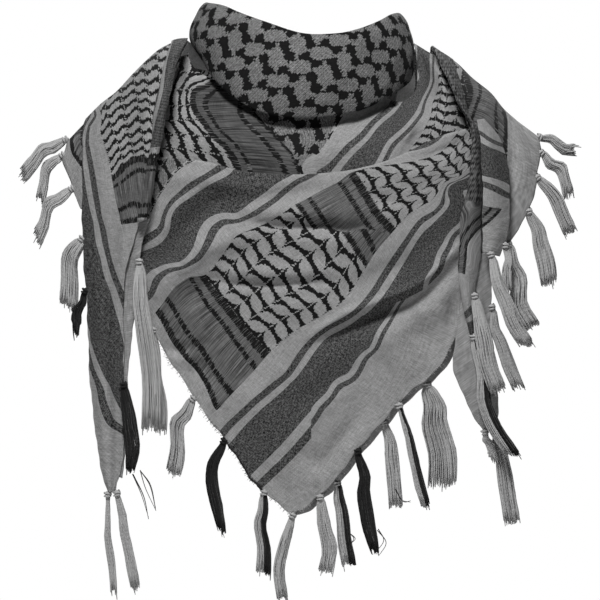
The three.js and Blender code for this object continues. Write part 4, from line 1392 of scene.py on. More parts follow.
BIB_ACROSS = charted(
    (0, (293, 514), (320, 490), (345, 462), (386, 415), (425, 368), (457, 329)),
    (51, (259, 466), (282, 443), (308, 413)),
    (
        84, (234, 438), (263, 407), (291, 382), (312, 355), (326, 338), (349, 325), (373, 307), (390, 285),
        (407, 257), (430, 226), (449, 201), (456, 182),
    ),
    (
        94.5, (228, 426), (261, 396), (287, 375), (307, 346), (329, 327), (363, 304), (382, 278),
        (401, 249), (422, 220), (442, 199), (449, 184),
    ),
    (
        116, (218, 409), (245, 380), (268, 354), (291, 334), (318, 318), (340, 304), (367, 265), (376, 251),
        (395, 229), (415, 210), (436, 195), (455, 180), (466, 170),
    ),
    (
        215, (159, 309), (168, 297), (184, 281), (191, 277), (203, 276), (212, 270), (220, 259), (230, 245),
        (239, 235), (256, 228), (276, 218), (294, 206), (304, 201), (318, 193), (339, 182), (350, 174),
    ),
    (
        236.5, (153, 293), (159, 279), (172, 270), (187, 266), (201, 256), (210, 241), (217, 228),
        (226, 222), (243, 220), (256, 214), (277, 199), (298, 182),
    ),
    (
        244.5, (151, 275), (163, 268), (182, 264), (195, 252), (201, 237), (208, 224), (220, 217),
        (235, 217), (251, 208), (268, 197), (287, 182), (300, 175),
    ),
    (284.5, (151, 246), (157, 243), (168, 228), (172, 211), (191, 195), (210, 182), (230, 171)),
    (291.5, (151, 236), (164, 219), (174, 201), (188, 189), (204, 179), (221, 168)),
    (304, (157, 219), (175, 188), (205, 166)), (322, (157, 190), (172, 166)), (262, (250, 172)),
    (252, (290, 173)), (232, (330, 168)),
)
BIB_ACROSS_ABOVE = charted(
    (51, (422, 289), (432, 266), (442, 243), (459, 222), (468, 190)),
    (39.5, (430, 283), (442, 258), (453, 236)), (25, (462, 262)),
)
BIB_ACROSS_BELOW = charted(
    (51, (326, 392), (347, 373), (368, 348), (383, 321), (395, 304), (408, 280)),
    (
        39.5, (266, 482), (284, 453), (305, 430), (322, 407), (339, 386), (368, 355), (381, 336),
        (398, 306), (412, 284),
    ),
)
BIB_FOLD_LINE = ((300, 346), (310, 341), (345, 322), (407, 298), (424, 289), (457, 256), (480, 240))
BIB_ALONG = charted(
    (0, (157, 357), (178, 373), (194, 400), (222, 432), (253, 461)), (-8, (293, 514)),
    (20.5, (158, 310), (188, 358), (218, 407)), (33.5, (171, 303), (202, 348), (232, 392)),
    (69.5, (191, 278), (209, 306), (232, 336), (255, 367)),
    (82.5, (203, 277), (224, 304), (245, 330), (267, 355)), (136, (240, 240)), (145, (316, 309)),
    (40, (345, 460)), (100, (386, 415)), (200, (457, 329)), (70, (151, 243)), (120, (165, 180)),
)
BIB_ALONG_ABOVE = charted(
    (202.5, (299, 207), (313, 226)), (215.5, (312, 203), (327, 225)), (251.5, (340, 184), (366, 224)),
    (264.5, (356, 181), (383, 222)), (343, (440, 150)), (350, (466, 170)), (385, (470, 130)),
    (262, (420, 255)),
)
BIB_ALONG_BELOW = charted(
    (202.5, (346, 234), (365, 263)), (215.5, (365, 234), (374, 252)), (240, (395, 229)), (262, (420, 240)),
)
BIB_CREASE_LINE = (
    (240, 224), (250, 226), (266, 229), (298, 230), (328, 229), (345, 233), (363, 229), (380, 232),
    (404, 242),
)
BIB_LOW_LINE = ((150, 228), (250, 228), (402, 240), (470, 330))


def hem_height(x: Array) -> Array:
    """Height of the bib's slightly wavy hem at places across."""
    wander = 1.0 * np.sin(x / 6.1 + 1.0) + 0.8 * np.sin(x / 2.7) + 1.3 * np.sin(x / 17.0 + 2.0)
    return smooth(BIB_ROWS, 2, x) + wander


@dataclass
class Bib:
    """The folded square in front: its top layer with the rolled edge, and the layer behind it."""

    lift: float = 9.5
    under_lift: float = 3.0
    under_shift: tuple[float, float] = (5.0, -2.0)
    under_drop: float = 12.0
    columns: int = 200
    steps: int = 170
    under_columns: int = 110
    under_steps: int = 90
    under_squeeze: float = 0.12
    thickness: float = 1.2
    fold_from: float = 312.0
    crease_from: float = 250.0
    crease_to: float = 402.0
    blend_over: float = 8.0
    roll: tuple[tuple[float, float], ...] = ((0.6, -0.2), (1.6, -0.3), (2.9, -1.2), (3.9, -2.8), (4.5, -5.0))

    def place(self, columns: int, steps: int, lift: float, shift: tuple[float, float], drop: float) -> Array:
        """Grid of one layer, from its hem up.

        Args:
            columns: Points across.
            steps: Points up, before the rolled edge.
            lift: How far the layer stands off the chest, in millimetres.
            shift: How far it lies to the right and up.
            drop: How far its top lies lower; only a layer that isn't dropped has the rolled edge.

        Returns:
            The points, by column and by row.
        """
        across = np.linspace(BIB_ROWS[0][0], BIB_ROWS[-1][0], columns)
        x = across + shift[0]
        top = smooth(BIB_ROWS, 1, across) - drop
        hem = hem_height(across) + shift[1]
        shares = np.linspace(0, 1, steps)[None, :]
        z = hem[:, None] + (top - 2 - hem)[:, None] * shares
        x = x[:, None] + np.zeros_like(z)
        ease = np.clip((1 - shares) / 0.05, 0, 1)
        y = FIGURE.front(x, z, lift) - relief_of(BIB_CREASES, x, z) * ease
        grid = np.stack([x, y, z], axis=-1)
        if drop > 0:
            return grid
        y_top = FIGURE.front(x[:, 0], top, lift)
        rolls = [np.stack([x[:, 0], y_top + dy, top + dz], axis=-1)[:, None] for dy, dz in self.roll]
        return np.concatenate([grid, *rolls], axis=1)

    def build_top(self, material: bpy.types.Material) -> bpy.types.Object:
        """Builds the top layer.

        Args:
            material: What the piece is made of.

        Returns:
            The piece, in metres.
        """
        grid = self.place(self.columns, self.steps, self.lift, (0.0, 0.0), 0.0)
        cloth = self._woven(grid)
        return cloth.shell("bib_cloth", self.thickness, material)

    def build_under(self, material: bpy.types.Material) -> bpy.types.Object:
        """Builds the layer behind.

        Args:
            material: What the piece is made of.

        Returns:
            The piece, in metres.
        """
        grid = self.place(
            self.under_columns, self.under_steps, self.under_lift, self.under_shift, self.under_drop
        )
        cloth = self._woven(grid)
        cloth.weave = cloth.weave * (1.0, self.under_squeeze)
        cloth.weave_turned = cloth.weave
        return cloth.shell("bib_under_cloth", self.thickness, material)

    def _woven(self, grid: Array) -> Cloth:
        """Lays the weave on a layer, with its jumps at the two folds.

        Args:
            grid: The layer's points.

        Returns:
            The cloth.
        """
        x, z = grid[..., 0], grid[..., 2]
        column = VIEW.column(x)
        left = column < self.crease_from
        below = np.where(column < self.fold_from, -1.0, side_of(BIB_FOLD_LINE, x, z))
        crease = np.where(left | (column > self.crease_to), -1.0, side_of(BIB_CREASE_LINE, x, z))
        along = Field(BIB_ALONG + BIB_ALONG_ABOVE).at(x, z)
        along_below = Field(BIB_ALONG + BIB_ALONG_BELOW).at(x, z)
        across = Field(BIB_ACROSS + BIB_ACROSS_ABOVE).at(x, z)
        across_below = Field(BIB_ACROSS + BIB_ACROSS_BELOW).at(x, z)
        share = np.clip(side_of(BIB_LOW_LINE, x, z) / self.blend_over, 0, 1)
        along_main = along + (along_below - along) * np.where(left, 0.0, share)
        return Cloth(
            grid,
            np.stack([along_main, across], axis=-1),
            weave_turned=np.stack([along_below, across_below], axis=-1),
            turn_along=crease,
            turn_across=below,
        )


# Tails and nape


@dataclass(frozen=True)
class Row:
    """A row of a tail: its outer and inner edge in the front view, in millimetres."""

    outer: float
    inner: float
    drop: float | None = None
    outer_z: float = 0.0
    inner_z: float = 0.0


def dropped(drop: float, outer: float, inner: float) -> Row:
    """A row that lies a drop below the shoulder line."""
    return Row(outer, inner, drop=drop)


def placed(outer: float, outer_z: float, inner: float, inner_z: float) -> Row:
    """A row that has the height of each edge."""
    return Row(outer, inner, outer_z=outer_z, inner_z=inner_z)


@dataclass
class Tail:
    """A stretch of a tail, through its rows from the shoulder down."""

    name: str
    rows: Sequence[Row]
    lift: float
    across_rows: Rows
    along_rows: Rows
    roll: float = 0.0
    pleats: int = 0
    pleat_depth: float = 0.0
    creases: Sequence[Crease] = ()
    columns: int = 40
    steps: int = 150
    thickness: float = 1.2
    long_wander: float = 0.45
    short_wander: float = 0.2
    wander_reach: float = 0.06
    turn_line: Rows = ()
    turned_across: Rows = ()
    turned_along: Rows = ()

    def corner(self, row: Row, shares: Array) -> Array:
        """Places of a row, from its outer to its inner edge.

        Args:
            row: The row.
            shares: Shares of the way from the outer edge.

        Returns:
            The places, without their y.
        """
        x = row.outer + (row.inner - row.outer) * shares
        if row.drop is not None:
            z = FIGURE.ridge(x, self.lift) - row.drop
        else:
            z = row.outer_z + (row.inner_z - row.outer_z) * shares
        return np.stack([x, x * 0, z], axis=-1)

    def grid(self) -> Array:
        """Grid of the stretch, from its foot up to its first row.

        Returns:
            The points, by column and by row.
        """
        shares = np.linspace(0, 1, self.columns)
        corners = np.stack([self.corner(row, shares) for row in self.rows], axis=1)
        grid = line_through(corners, np.linspace(0, 1, self.steps))
        fade = np.minimum(1, 4 * np.linspace(0, 1, self.steps))[None, :]
        rolled = self.roll * np.sin(math.pi * shares)[:, None]
        pleat = self.pleat_depth * np.sin(math.pi * self.pleats * shares)[:, None] ** 2
        long = self.long_wander * np.sin(grid[..., 2] / 7.3)
        wander = long + self.short_wander * np.sin(grid[..., 2] / 2.3 + self.lift)
        reach = self.wander_reach
        pull = np.exp(-(shares[:, None] / reach)) + np.exp(-((1 - shares[:, None]) / reach))
        grid[..., 0] += wander * pull * fade
        x, z = grid[..., 0], grid[..., 2]
        out = fade * (rolled + pleat + relief_of(self.creases, x, z))
        grid[..., 1] = FIGURE.front(x, z, self.lift + out)
        grid[:, 0, 1] = np.minimum(grid[:, 0, 1], FIGURE.ridge_y - FIGURE.seam)
        return grid[:, ::-1]

    def woven(self, grid: Array) -> Array:
        """Place in the weave at each point of the stretch."""
        x, z = grid[..., 0], grid[..., 2]
        return np.stack([Field(self.along_rows).at(x, z), Field(self.across_rows).at(x, z)], axis=-1)

    def build(self, material: bpy.types.Material) -> bpy.types.Object:
        """Builds the stretch.

        Args:
            material: What the piece is made of.

        Returns:
            The piece, in metres.
        """
        grid = self.grid()
        cloth = Cloth(grid, self.woven(grid))
        if self.turn_line:
            x, z = grid[..., 0], grid[..., 2]
            cloth.turn_along = cloth.turn_across = side_of(self.turn_line, x, z)
            along, across = Field(self.turned_along).at(x, z), Field(self.turned_across).at(x, z)
            cloth.weave_turned = np.stack([along, across], axis=-1)
        return cloth.shell(self.name, self.thickness, material)


# Share of the way, upper edge's x, y and z, lower edge's x, y and z, bulge between them.
NAPE_ROWS = (
    (0.08, -105, 34, 50, -188, 36, -34, 7), (0.24, -98, 62, 41, -150, 74, -54, 9),
    (0.42, -62, 88, 35, -82, 101, -56, 8), (0.58, -4, 97, 34, -6, 108, -42, 8),
    (0.74, 50, 88, 42, 58, 97, -6, 7), (0.88, 80, 66, 48, 88, 72, 26, 4), (1, 92, 40, 47, 97, 42, 34, 2),
)


class Continues(Enum):
    """What runs on over the shoulder: the length or the width of the weave."""

    LENGTH = 0
    WIDTH = 1


@dataclass
class ShoulderArm:
    """A tail and the arm behind the neck that it comes from, as one run of cloth."""

    tail: Tail
    side: float
    outside: float
    shift: float
    continues: Continues
    pleats: int = 3
    pleat_depth: float = 2.6
    steps: int = 110
    fine_pleats: float = 0.8

    def nape(self) -> Array:
        """Grid of the arm, from the shoulder line to its far end under the other arm.

        Returns:
            The points, by column and by row.
        """
        shares = np.linspace(0, 1, self.tail.columns)
        start = self.tail.corner(self.tail.rows[0], shares)
        start[:, 1] = FIGURE.ridge_y + FIGURE.seam
        corners = [start]
        for at, xu, yu, zu, xl, yl, zl, bulge in NAPE_ROWS:
            upper, lower = np.array([xu, yu, zu], float), np.array([xl, yl, zl], float)
            point = lower + (upper - lower) * shares[:, None]
            pleat = self.pleat_depth * np.sin(math.pi * self.pleats * shares) ** 2
            out = bulge * np.sin(math.pi * shares) + pleat + self.outside * min(1, 3 * at)
            away = point * (1, 1, 0)
            away = away / np.linalg.norm(away, axis=1, keepdims=True)
            point = point + away * out[:, None]
            point[:, 0] = point[:, 0] * self.side + self.shift * at
            corners.append(point)
        grid = line_through(np.stack(corners, axis=1), np.linspace(0, 1, self.steps))
        along = np.linspace(0, 1, self.steps)[None, :]
        ripple = np.sin(19 * shares[:, None] + 5 * along) * np.sin(math.pi * along) * self.fine_pleats
        flat = grid * (1, 1, 0)
        flat = flat / np.maximum(np.linalg.norm(flat, axis=2, keepdims=True), 1e-6)
        return grid + flat * (ripple * np.minimum(1, 6 * along))[..., None]

    def build(self, material: bpy.types.Material) -> bpy.types.Object:
        """Builds the tail and its arm in one piece.

        Args:
            material: What the piece is made of.

        Returns:
            The piece, in metres.
        """
        front = self.tail.grid()
        back = self.nape()[:, 1:]
        woven = self.tail.woven(front)
        ends = woven[:, -1]
        steps = np.diff(np.concatenate([front[:, -1:], back], axis=1), axis=1)
        reach = np.cumsum(np.linalg.norm(steps, axis=2), axis=1)
        middle = np.mean(reach, axis=0)[None, :] + np.zeros_like(reach)
        column = 0 if self.continues is Continues.LENGTH else 1
        behind = np.repeat(ends[:, None], back.shape[1], axis=1)
        behind[..., column] += middle
        grid = np.concatenate([front, back], axis=1)
        cloth = Cloth(grid, np.concatenate([woven, behind], axis=1))
        return cloth.shell(self.tail.name, self.tail.thickness, material)


LEFT_FRONT = Tail(
    "tail_left_cloth",
    (
        dropped(0, -200, -110), dropped(4, -202, -111), dropped(15, -203, -115), dropped(32, -202, -121),
        dropped(55, -202, -130), dropped(82, -202, -136), placed(-201, -128, -142, -72),
        placed(-200, -150, -149, -102), placed(-198, -170, -158, -130), placed(-197, -194, -165, -164),
        placed(-196, -226, -165, -210), placed(-194, -258, -165, -252), placed(-190, -290, -165, -290),
        placed(-186, -320, -167, -322), placed(-179, -344, -173, -345),
    ),
    lift=19.0,
    across_rows=charted(
        (
            116, (99, 111), (101, 123), (105, 146), (111, 169), (115, 192), (120, 214), (124, 234),
            (127, 257),
        ),
        (98, (96, 113), (90, 126), (89, 142), (92, 157), (98, 188), (103, 218), (111, 253), (122, 285)),
        (84, (84, 172), (87, 192), (94, 222), (101, 257), (111, 291), (120, 322), (125, 345), (126, 376)),
        (51, (86, 320), (91, 340), (100, 365), (111, 386), (119, 404)),
        (39.5, (88, 340), (92, 366), (103, 400), (112, 422)), (12, (99, 455)), (30, (122, 440)),
        (0, (112, 492)), (84, (84, 128)), (70, (80, 120)), (186, (155, 60), (160, 100)),
        (176, (156, 150), (145, 60)), (160, (151, 200)), (152, (140, 150)), (142, (120, 110)),
        (150, (128, 100)), (60, (83, 300)), (70, (83, 250)),
    ),
    along_rows=charted(
        (20.5, (120, 223), (135, 221), (148, 220)), (33.5, (119, 211), (135, 204), (150, 213)),
        (69.5, (113, 188), (140, 171), (153, 175)), (82.5, (112, 180), (140, 160), (156, 166)),
        (128, (101, 123)), (122, (140, 110)), (132, (155, 100)), (158, (150, 60)), (142, (95, 105)),
        (148, (130, 80)), (50, (85, 200)), (-40, (100, 300)), (-200, (112, 490)), (-40, (125, 300)),
        (170, (170, 45)),
    ),
    pleats=2,
    pleat_depth=2.0,
    creases=(
        Crease(((150, 56), (146, 90), (148, 130), (146, 160)), 2.4, 5.0),
        Crease(((130, 78), (128, 120), (134, 170), (136, 210)), -1.6, 6.0),
        Crease(((110, 100), (112, 140), (120, 190)), 1.3, 6.0),
        Crease(((92, 130), (96, 190), (106, 250), (116, 300)), -1.4, 5.0),
        Crease(((86, 210), (94, 270), (104, 330), (112, 380)), 1.2, 5.0),
        Crease(((104, 350), (110, 400), (114, 450)), -1.5, 4.0),
        Crease(((122, 230), (126, 262), (124, 310)), 1.4, 4.0),
    ),
    columns=72,
    steps=230,
)
LEFT_PLEAT = Tail(
    "tail_left_pleat_cloth",
    (
        dropped(0, -124, -110), dropped(4, -125, -111), dropped(15, -128, -115), dropped(32, -133, -120),
        dropped(55, -138, -125), dropped(82, -141, -130), placed(-143, -52, -134, -50),
        placed(-147, -78, -138, -75), placed(-153, -108, -144, -106),
    ),
    lift=23.0,
    across_rows=charted(
        (66, (178, 45)), (64, (170, 90)), (66, (158, 148)), (62, (162, 120)), (72, (175, 70)),
        (66, (152, 222)),
    ),
    along_rows=charted(
        (170, (178, 45)), (90, (158, 148)), (130, (170, 90)), (20, (152, 222)),
    ),
    turn_line=((140, 150), (170, 147)),
    turned_across=charted(
        (150, (158, 150), (150, 222)), (142, (146, 180)), (158, (160, 180)),
    ),
    turned_along=charted(
        (92, (146, 149), (160, 149)), (86, (146, 158), (160, 158)), (82.5, (146, 165), (160, 165)),
        (67, (146, 172), (160, 172)), (35, (146, 205), (160, 205)), (20.5, (146, 216), (156, 216)),
        (8, (146, 228), (156, 228)),
    ),
    roll=6.0,
    columns=30,
    steps=130,
)
LEFT_BACK = Tail(
    "tail_left_back_cloth",
    (
        dropped(0, -216, -165), dropped(4, -218, -165), dropped(15, -220, -165), dropped(32, -215, -167),
        placed(-209, -84, -172, -70), placed(-203, -96, -178, -90),
    ),
    lift=14.0,
    across_rows=charted(
        (150, (68, 132)), (130, (85, 172)), (160, (100, 110)), (150, (63, 160)),
    ),
    along_rows=charted(
        (2, (60, 150)), (12, (66, 150)), (20.5, (72, 150), (78, 160), (84, 168)), (33.5, (82, 132)),
        (52, (98, 110)),
    ),
    creases=(Crease(((70, 140), (78, 160), (84, 190)), 1.6, 5.0),),
    columns=40,
    steps=60,
)
LEFT_FOLD = Tail(
    "tail_left_fold_cloth",
    (
        placed(-185, -104, -142, -105), placed(-186, -124, -149, -125), placed(-186, -172, -153, -174),
        placed(-186, -224, -160, -222), placed(-184, -280, -163, -284), placed(-178, -328, -166, -332),
    ),
    lift=16.6,
    across_rows=charted(
        (24, (150, 222)), (20, (125, 300)), (16, (140, 260)), (20, (118, 460)),
    ),
    along_rows=charted(
        (4, (150, 222)), (-200, (118, 460)), (-60, (125, 300)),
    ),
    creases=(
        Crease(((136, 225), (130, 260), (126, 300)), -2.0, 3.5),
        Crease(((146, 225), (142, 245), (134, 280)), 1.6, 4.0),
    ),
    columns=36,
    steps=110,
)
RIGHT_SHOULDER = Tail(
    "tail_right_cloth",
    (
        dropped(0, 200, 116), dropped(4, 201, 117), dropped(15, 202, 121), dropped(32, 199, 131),
        dropped(52, 196, 139), placed(190, -98, 143, -52), placed(181, -114, 145, -80),
        placed(172, -127, 146, -104),
    ),
    lift=13.7,
    across_rows=charted(
        (190, (450, 55)), (170, (500, 90)), (160, (537, 135)), (130, (537, 180)), (120, (510, 240)),
        (140, (480, 120)), (125, (470, 160)),
    ),
    along_rows=charted(
        (2, (538, 140)), (4, (537, 175), (523, 218)), (12, (513, 130)), (20.5, (506, 119), (505, 142)),
        (24, (502, 106)), (31, (500, 100)), (33.5, (496, 133)), (36, (499, 95)),
        (69.5, (481, 92), (476, 106)), (82.5, (467, 78)), (84, (468, 100)), (100, (455, 65)),
        (118, (443, 55)), (12, (500, 200)), (16, (482, 200)),
    ),
    creases=(
        Crease(((506, 112), (512, 150), (508, 200), (504, 236)), -2.4, 6.0),
        Crease(((522, 128), (526, 160), (518, 210)), 2.0, 8.0),
        Crease(((478, 84), (490, 108), (500, 136)), 1.6, 5.0),
        Crease(((466, 74), (474, 96), (484, 122)), -1.4, 4.0),
    ),
    columns=60,
    steps=130,
)
RIGHT_PLEAT = Tail(
    "tail_right_pleat_cloth",
    (
        dropped(0, 125, 108), dropped(4, 126, 109), dropped(13, 129, 113), dropped(27, 134, 120),
        dropped(40, 139, 129), placed(145, -26, 138, -22), placed(148, -50, 139, -48),
        placed(149, -72, 137, -70), placed(148, -106, 130, -104), placed(147, -142, 128, -140),
        placed(142, -170, 129, -168), placed(142, -207, 138, -206),
    ),
    lift=17.8,
    across_rows=charted(
        (66, (440, 56), (455, 90), (474, 130)), (62, (476, 120)), (70, (462, 120)), (68, (470, 145)),
        (66, (466, 230)),
    ),
    along_rows=charted(
        (120, (440, 56)), (80, (474, 130)), (50, (466, 225)), (52, (460, 330)),
    ),
    turn_line=((455, 199), (470, 202), (484, 205)),
    turned_across=charted(
        (146, (466, 190)), (148, (480, 192), (466, 206), (480, 207)), (150, (466, 230)), (170, (460, 264)),
        (180, (470, 266)), (222, (460, 275)), (226, (466, 290)), (232, (460, 312)), (236, (460, 318)),
        (262, (460, 330)), (218, (478, 262)), (285, (470, 345)),
    ),
    turned_along=charted(
        (69.5, (466, 190)), (66, (480, 190)), (62, (464, 206)), (50, (480, 206)), (54, (466, 214)),
        (36, (480, 214)), (48, (462, 222)), (27, (478, 222)), (36, (460, 236)), (24, (468, 236)),
        (12, (478, 236)), (31, (460, 245)), (19, (466, 245)), (5, (478, 245)), (29, (459, 268)),
        (15, (466, 268)), (4, (476, 268)), (24, (459, 290)), (6, (470, 290)), (50, (460, 330)),
    ),
    roll=5.0,
    columns=34,
    steps=190,
)
RIGHT_FOLD = Tail(
    "tail_right_fold_cloth",
    (
        placed(151, -17, 145, -18), placed(164, -33, 147, -36), placed(172, -58, 148.5, -60),
        placed(173, -86, 149, -86), placed(173, -110, 149, -108), placed(164, -138, 148.5, -134),
    ),
    lift=22.8,
    across_rows=charted(
        (4, (478, 108)), (14, (480, 119), (490, 126)), (39.5, (480, 134), (494, 143)),
        (51, (481, 144), (497, 151)), (84, (483, 177), (504, 183)), (94.5, (483, 185), (506, 196)),
        (116, (485, 207), (504, 210)), (150, (490, 240)), (168, (478, 256)),
    ),
    along_rows=charted(
        (42, (484, 208)), (25, (495, 209)), (14, (503, 212)), (27, (481, 222)), (18, (487, 224)),
        (10, (496, 224)), (12, (479, 236)), (7, (486, 236)), (3, (498, 240)), (9, (476, 243)),
        (24, (500, 180)), (46, (484, 180), (480, 125)), (24, (492, 125)), (5, (484, 254)),
    ),
    roll=4.0,
    columns=34,
    steps=110,
)
RIGHT_END = Tail(
    "tail_right_end_cloth",
    (
        placed(160, -133, 142, -136), placed(157, -165, 132, -168), placed(157, -198, 127, -200),
        placed(160, -232, 123, -232), placed(162, -256, 130, -254), placed(163, -278, 140, -276),
        placed(161, -291, 150, -290),
    ),
    lift=14.1,
    across_rows=charted(
        (16, (470, 250), (490, 430)), (14, (460, 330)), (18, (494, 330)),
    ),
    along_rows=charted(
        (0, (470, 250)), (-160, (490, 430)), (-60, (460, 330)),
    ),
    roll=2.0,
    creases=(
        Crease(((472, 300), (470, 350), (484, 410)), 1.8, 5.0),
        Crease(((484, 290), (484, 350), (492, 420)), -1.6, 4.0),
    ),
    columns=36,
    steps=110,
)


# Tassels


# Knot, bend and tip, each across and up; width, how far it swings forward, shade.
TASSELS = {
    "left": (
        (-218, -34, -238, -43, -256, -65, 13, 0, 0), (-220, -48, -235, -60, -240, -87, 11, 0, 0),
        (-211, -78, -232, -92, -242, -122, 13, 0, 0), (-202, -122, -213, -140, -214, -182, 18, 0, 0),
        (-199, -168, -206, -185, -207, -206, 8, 0, 1), (-151, -142, -147, -200, -141, -288, 17, 8, 0),
        (-139, -202, -137, -245, -133, -290, 11, 0, 0), (-165, -250, -160, -284, -159, -326, 13, 2, 1),
        (-179, -346, -179, -385, -174, -430, 5, 0, 0), (-171, -345, -165, -376, -155, -427, 8, 0, 0),
    ),
    "bib": (
        (-104, -262, -118, -284, -121, -327, 15, 0, 0), (-77, -299, -88, -332, -79, -378, 12, 0, 1),
        (-42, -344, -46, -372, -43, -414, 12, 0, 2), (-17, -364, -25, -392, -26, -436, 10, 0, 0),
        (7, -348, 11, -376, 12, -412, 13, 0, 0), (22, -336, 26, -362, 32, -407, 12, 0, 2),
        (40, -308, 45, -345, 55, -397, 12, 0, 1), (63, -283, 69, -311, 73, -356, 12, 0, 0),
        (76, -268, 88, -312, 99, -355, 8, 0, 2), (101, -250, 107, -284, 114, -338, 26, 0, 0),
    ),
    "right": (
        (201, -32, 217, -38, 232, -43, 10, 0, 0), (202, -46, 219, -60, 226, -82, 12, 0, 0),
        (198, -68, 214, -86, 227, -116, 13, 0, 0), (190, -98, 200, -125, 208, -161, 15, 0, 0),
        (172, -127, 181, -158, 192, -200, 16, 0, 0), (169, -128, 170, -148, 171, -167, 8, 0, 0),
        (156, -136, 169, -178, 187, -215, 13, 4, 0), (142, -172, 150, -212, 162, -255, 15, 5, 0),
        (157, -182, 165, -214, 180, -252, 11, 0, 0), (141, -208, 150, -264, 175, -311, 13, 0, 2),
        (151, -291, 155, -302, 158, -313, 7, 0, 0), (160, -292, 168, -325, 175, -370, 14, 0, 0),
    ),
}


def tube(line: Array, radius: Array, sides: int = 3) -> tuple[Array, Array]:
    """A closed tube along a line.

    Args:
        line: Points of the line.
        radius: Radius at each point.
        sides: Corners of the section.

    Returns:
        The points and the faces, as triangles and quads padded to four with -1.
    """
    heading = np.gradient(line, axis=0)
    heading /= np.maximum(np.linalg.norm(heading, axis=1, keepdims=True), 1e-9)
    base = np.where(np.abs(heading[:, 1:2]) < 0.9, np.array([[0.0, 1.0, 0.0]]), np.array([[1.0, 0.0, 0.0]]))
    first = np.cross(heading, base)
    first /= np.maximum(np.linalg.norm(first, axis=1, keepdims=True), 1e-9)
    second = np.cross(heading, first)
    angles = 2 * math.pi * np.arange(sides) / sides
    ring = first[:, None] * np.cos(angles)[None, :, None] + second[:, None] * np.sin(angles)[None, :, None]
    points = (line[:, None] + ring * np.asarray(radius).reshape(-1, 1, 1)).reshape(-1, 3)
    count = len(line)
    j, k = np.meshgrid(np.arange(count - 1), np.arange(sides), indexing="ij")
    nxt = (k + 1) % sides
    quads = np.stack([j * sides + k, (j + 1) * sides + k, (j + 1) * sides + nxt, j * sides + nxt], axis=-1)
    faces = [quads.reshape(-1, 4)]
    if sides == 3:
        faces.append(np.array([[0, 1, 2, -1], [count * 3 - 1, count * 3 - 2, count * 3 - 3, -1]]))
    return points, np.concatenate(faces)


@dataclass
class Strands:
    """Collects tubes of yarn into one mesh, with a tone for each strand."""

    points: list[Array] = field(default_factory=list)
    faces: list[Array] = field(default_factory=list)
    marks: list[Array] = field(default_factory=list)
    count: int = 0

    def add(self, line: Array, radius: Array, tone: float, sides: int = 3) -> None:
        """Adds a strand along a line.

        Args:
            line: Points of the strand.
            radius: Radius at each point.
            tone: The strand's own tone, from 0 to 1.
            sides: Corners of its section.
        """
        points, faces = tube(line, radius, sides)
        self.faces.append(np.where(faces >= 0, faces + self.count, -1))
        self.points.append(points)
        along = np.repeat(np.linspace(0, 0.05 * len(line), len(line)), sides)
        self.marks.append(np.stack([along, np.full(len(along), tone)], axis=1))
        self.count += len(points)

    def piece(self, name: str, material: bpy.types.Material) -> bpy.types.Object:
        """Builds the mesh, in metres.

        Args:
            name: The piece's name.
            material: What the piece is made of.

        Returns:
            The piece, in metres.
        """
        points = np.concatenate(self.points) * MM
        faces = [[i for i in face if i >= 0] for face in np.concatenate(self.faces).tolist()]
        mesh = bpy.data.meshes.new(name)
        mesh.from_pydata(points.tolist(), [], faces)
        mesh.polygons.foreach_set("use_smooth", [True] * len(mesh.polygons))
        corners = np.empty(len(mesh.loops), int)
        mesh.loops.foreach_get("vertex_index", corners)
        marks = np.concatenate(self.marks)
        layer = mesh.uv_layers.new(name="strand")
        layer.data.foreach_set("uv", marks[corners].astype(np.float32).ravel())
        mesh.materials.append(material)
        made = bpy.data.objects.new(name, mesh)
        bpy.context.scene.collection.objects.link(made)
        return made


class Shade(Enum):
    """Which yarn a tassel is made of."""

    GREY = 0
    BLACK = 1
    BOTH = 2


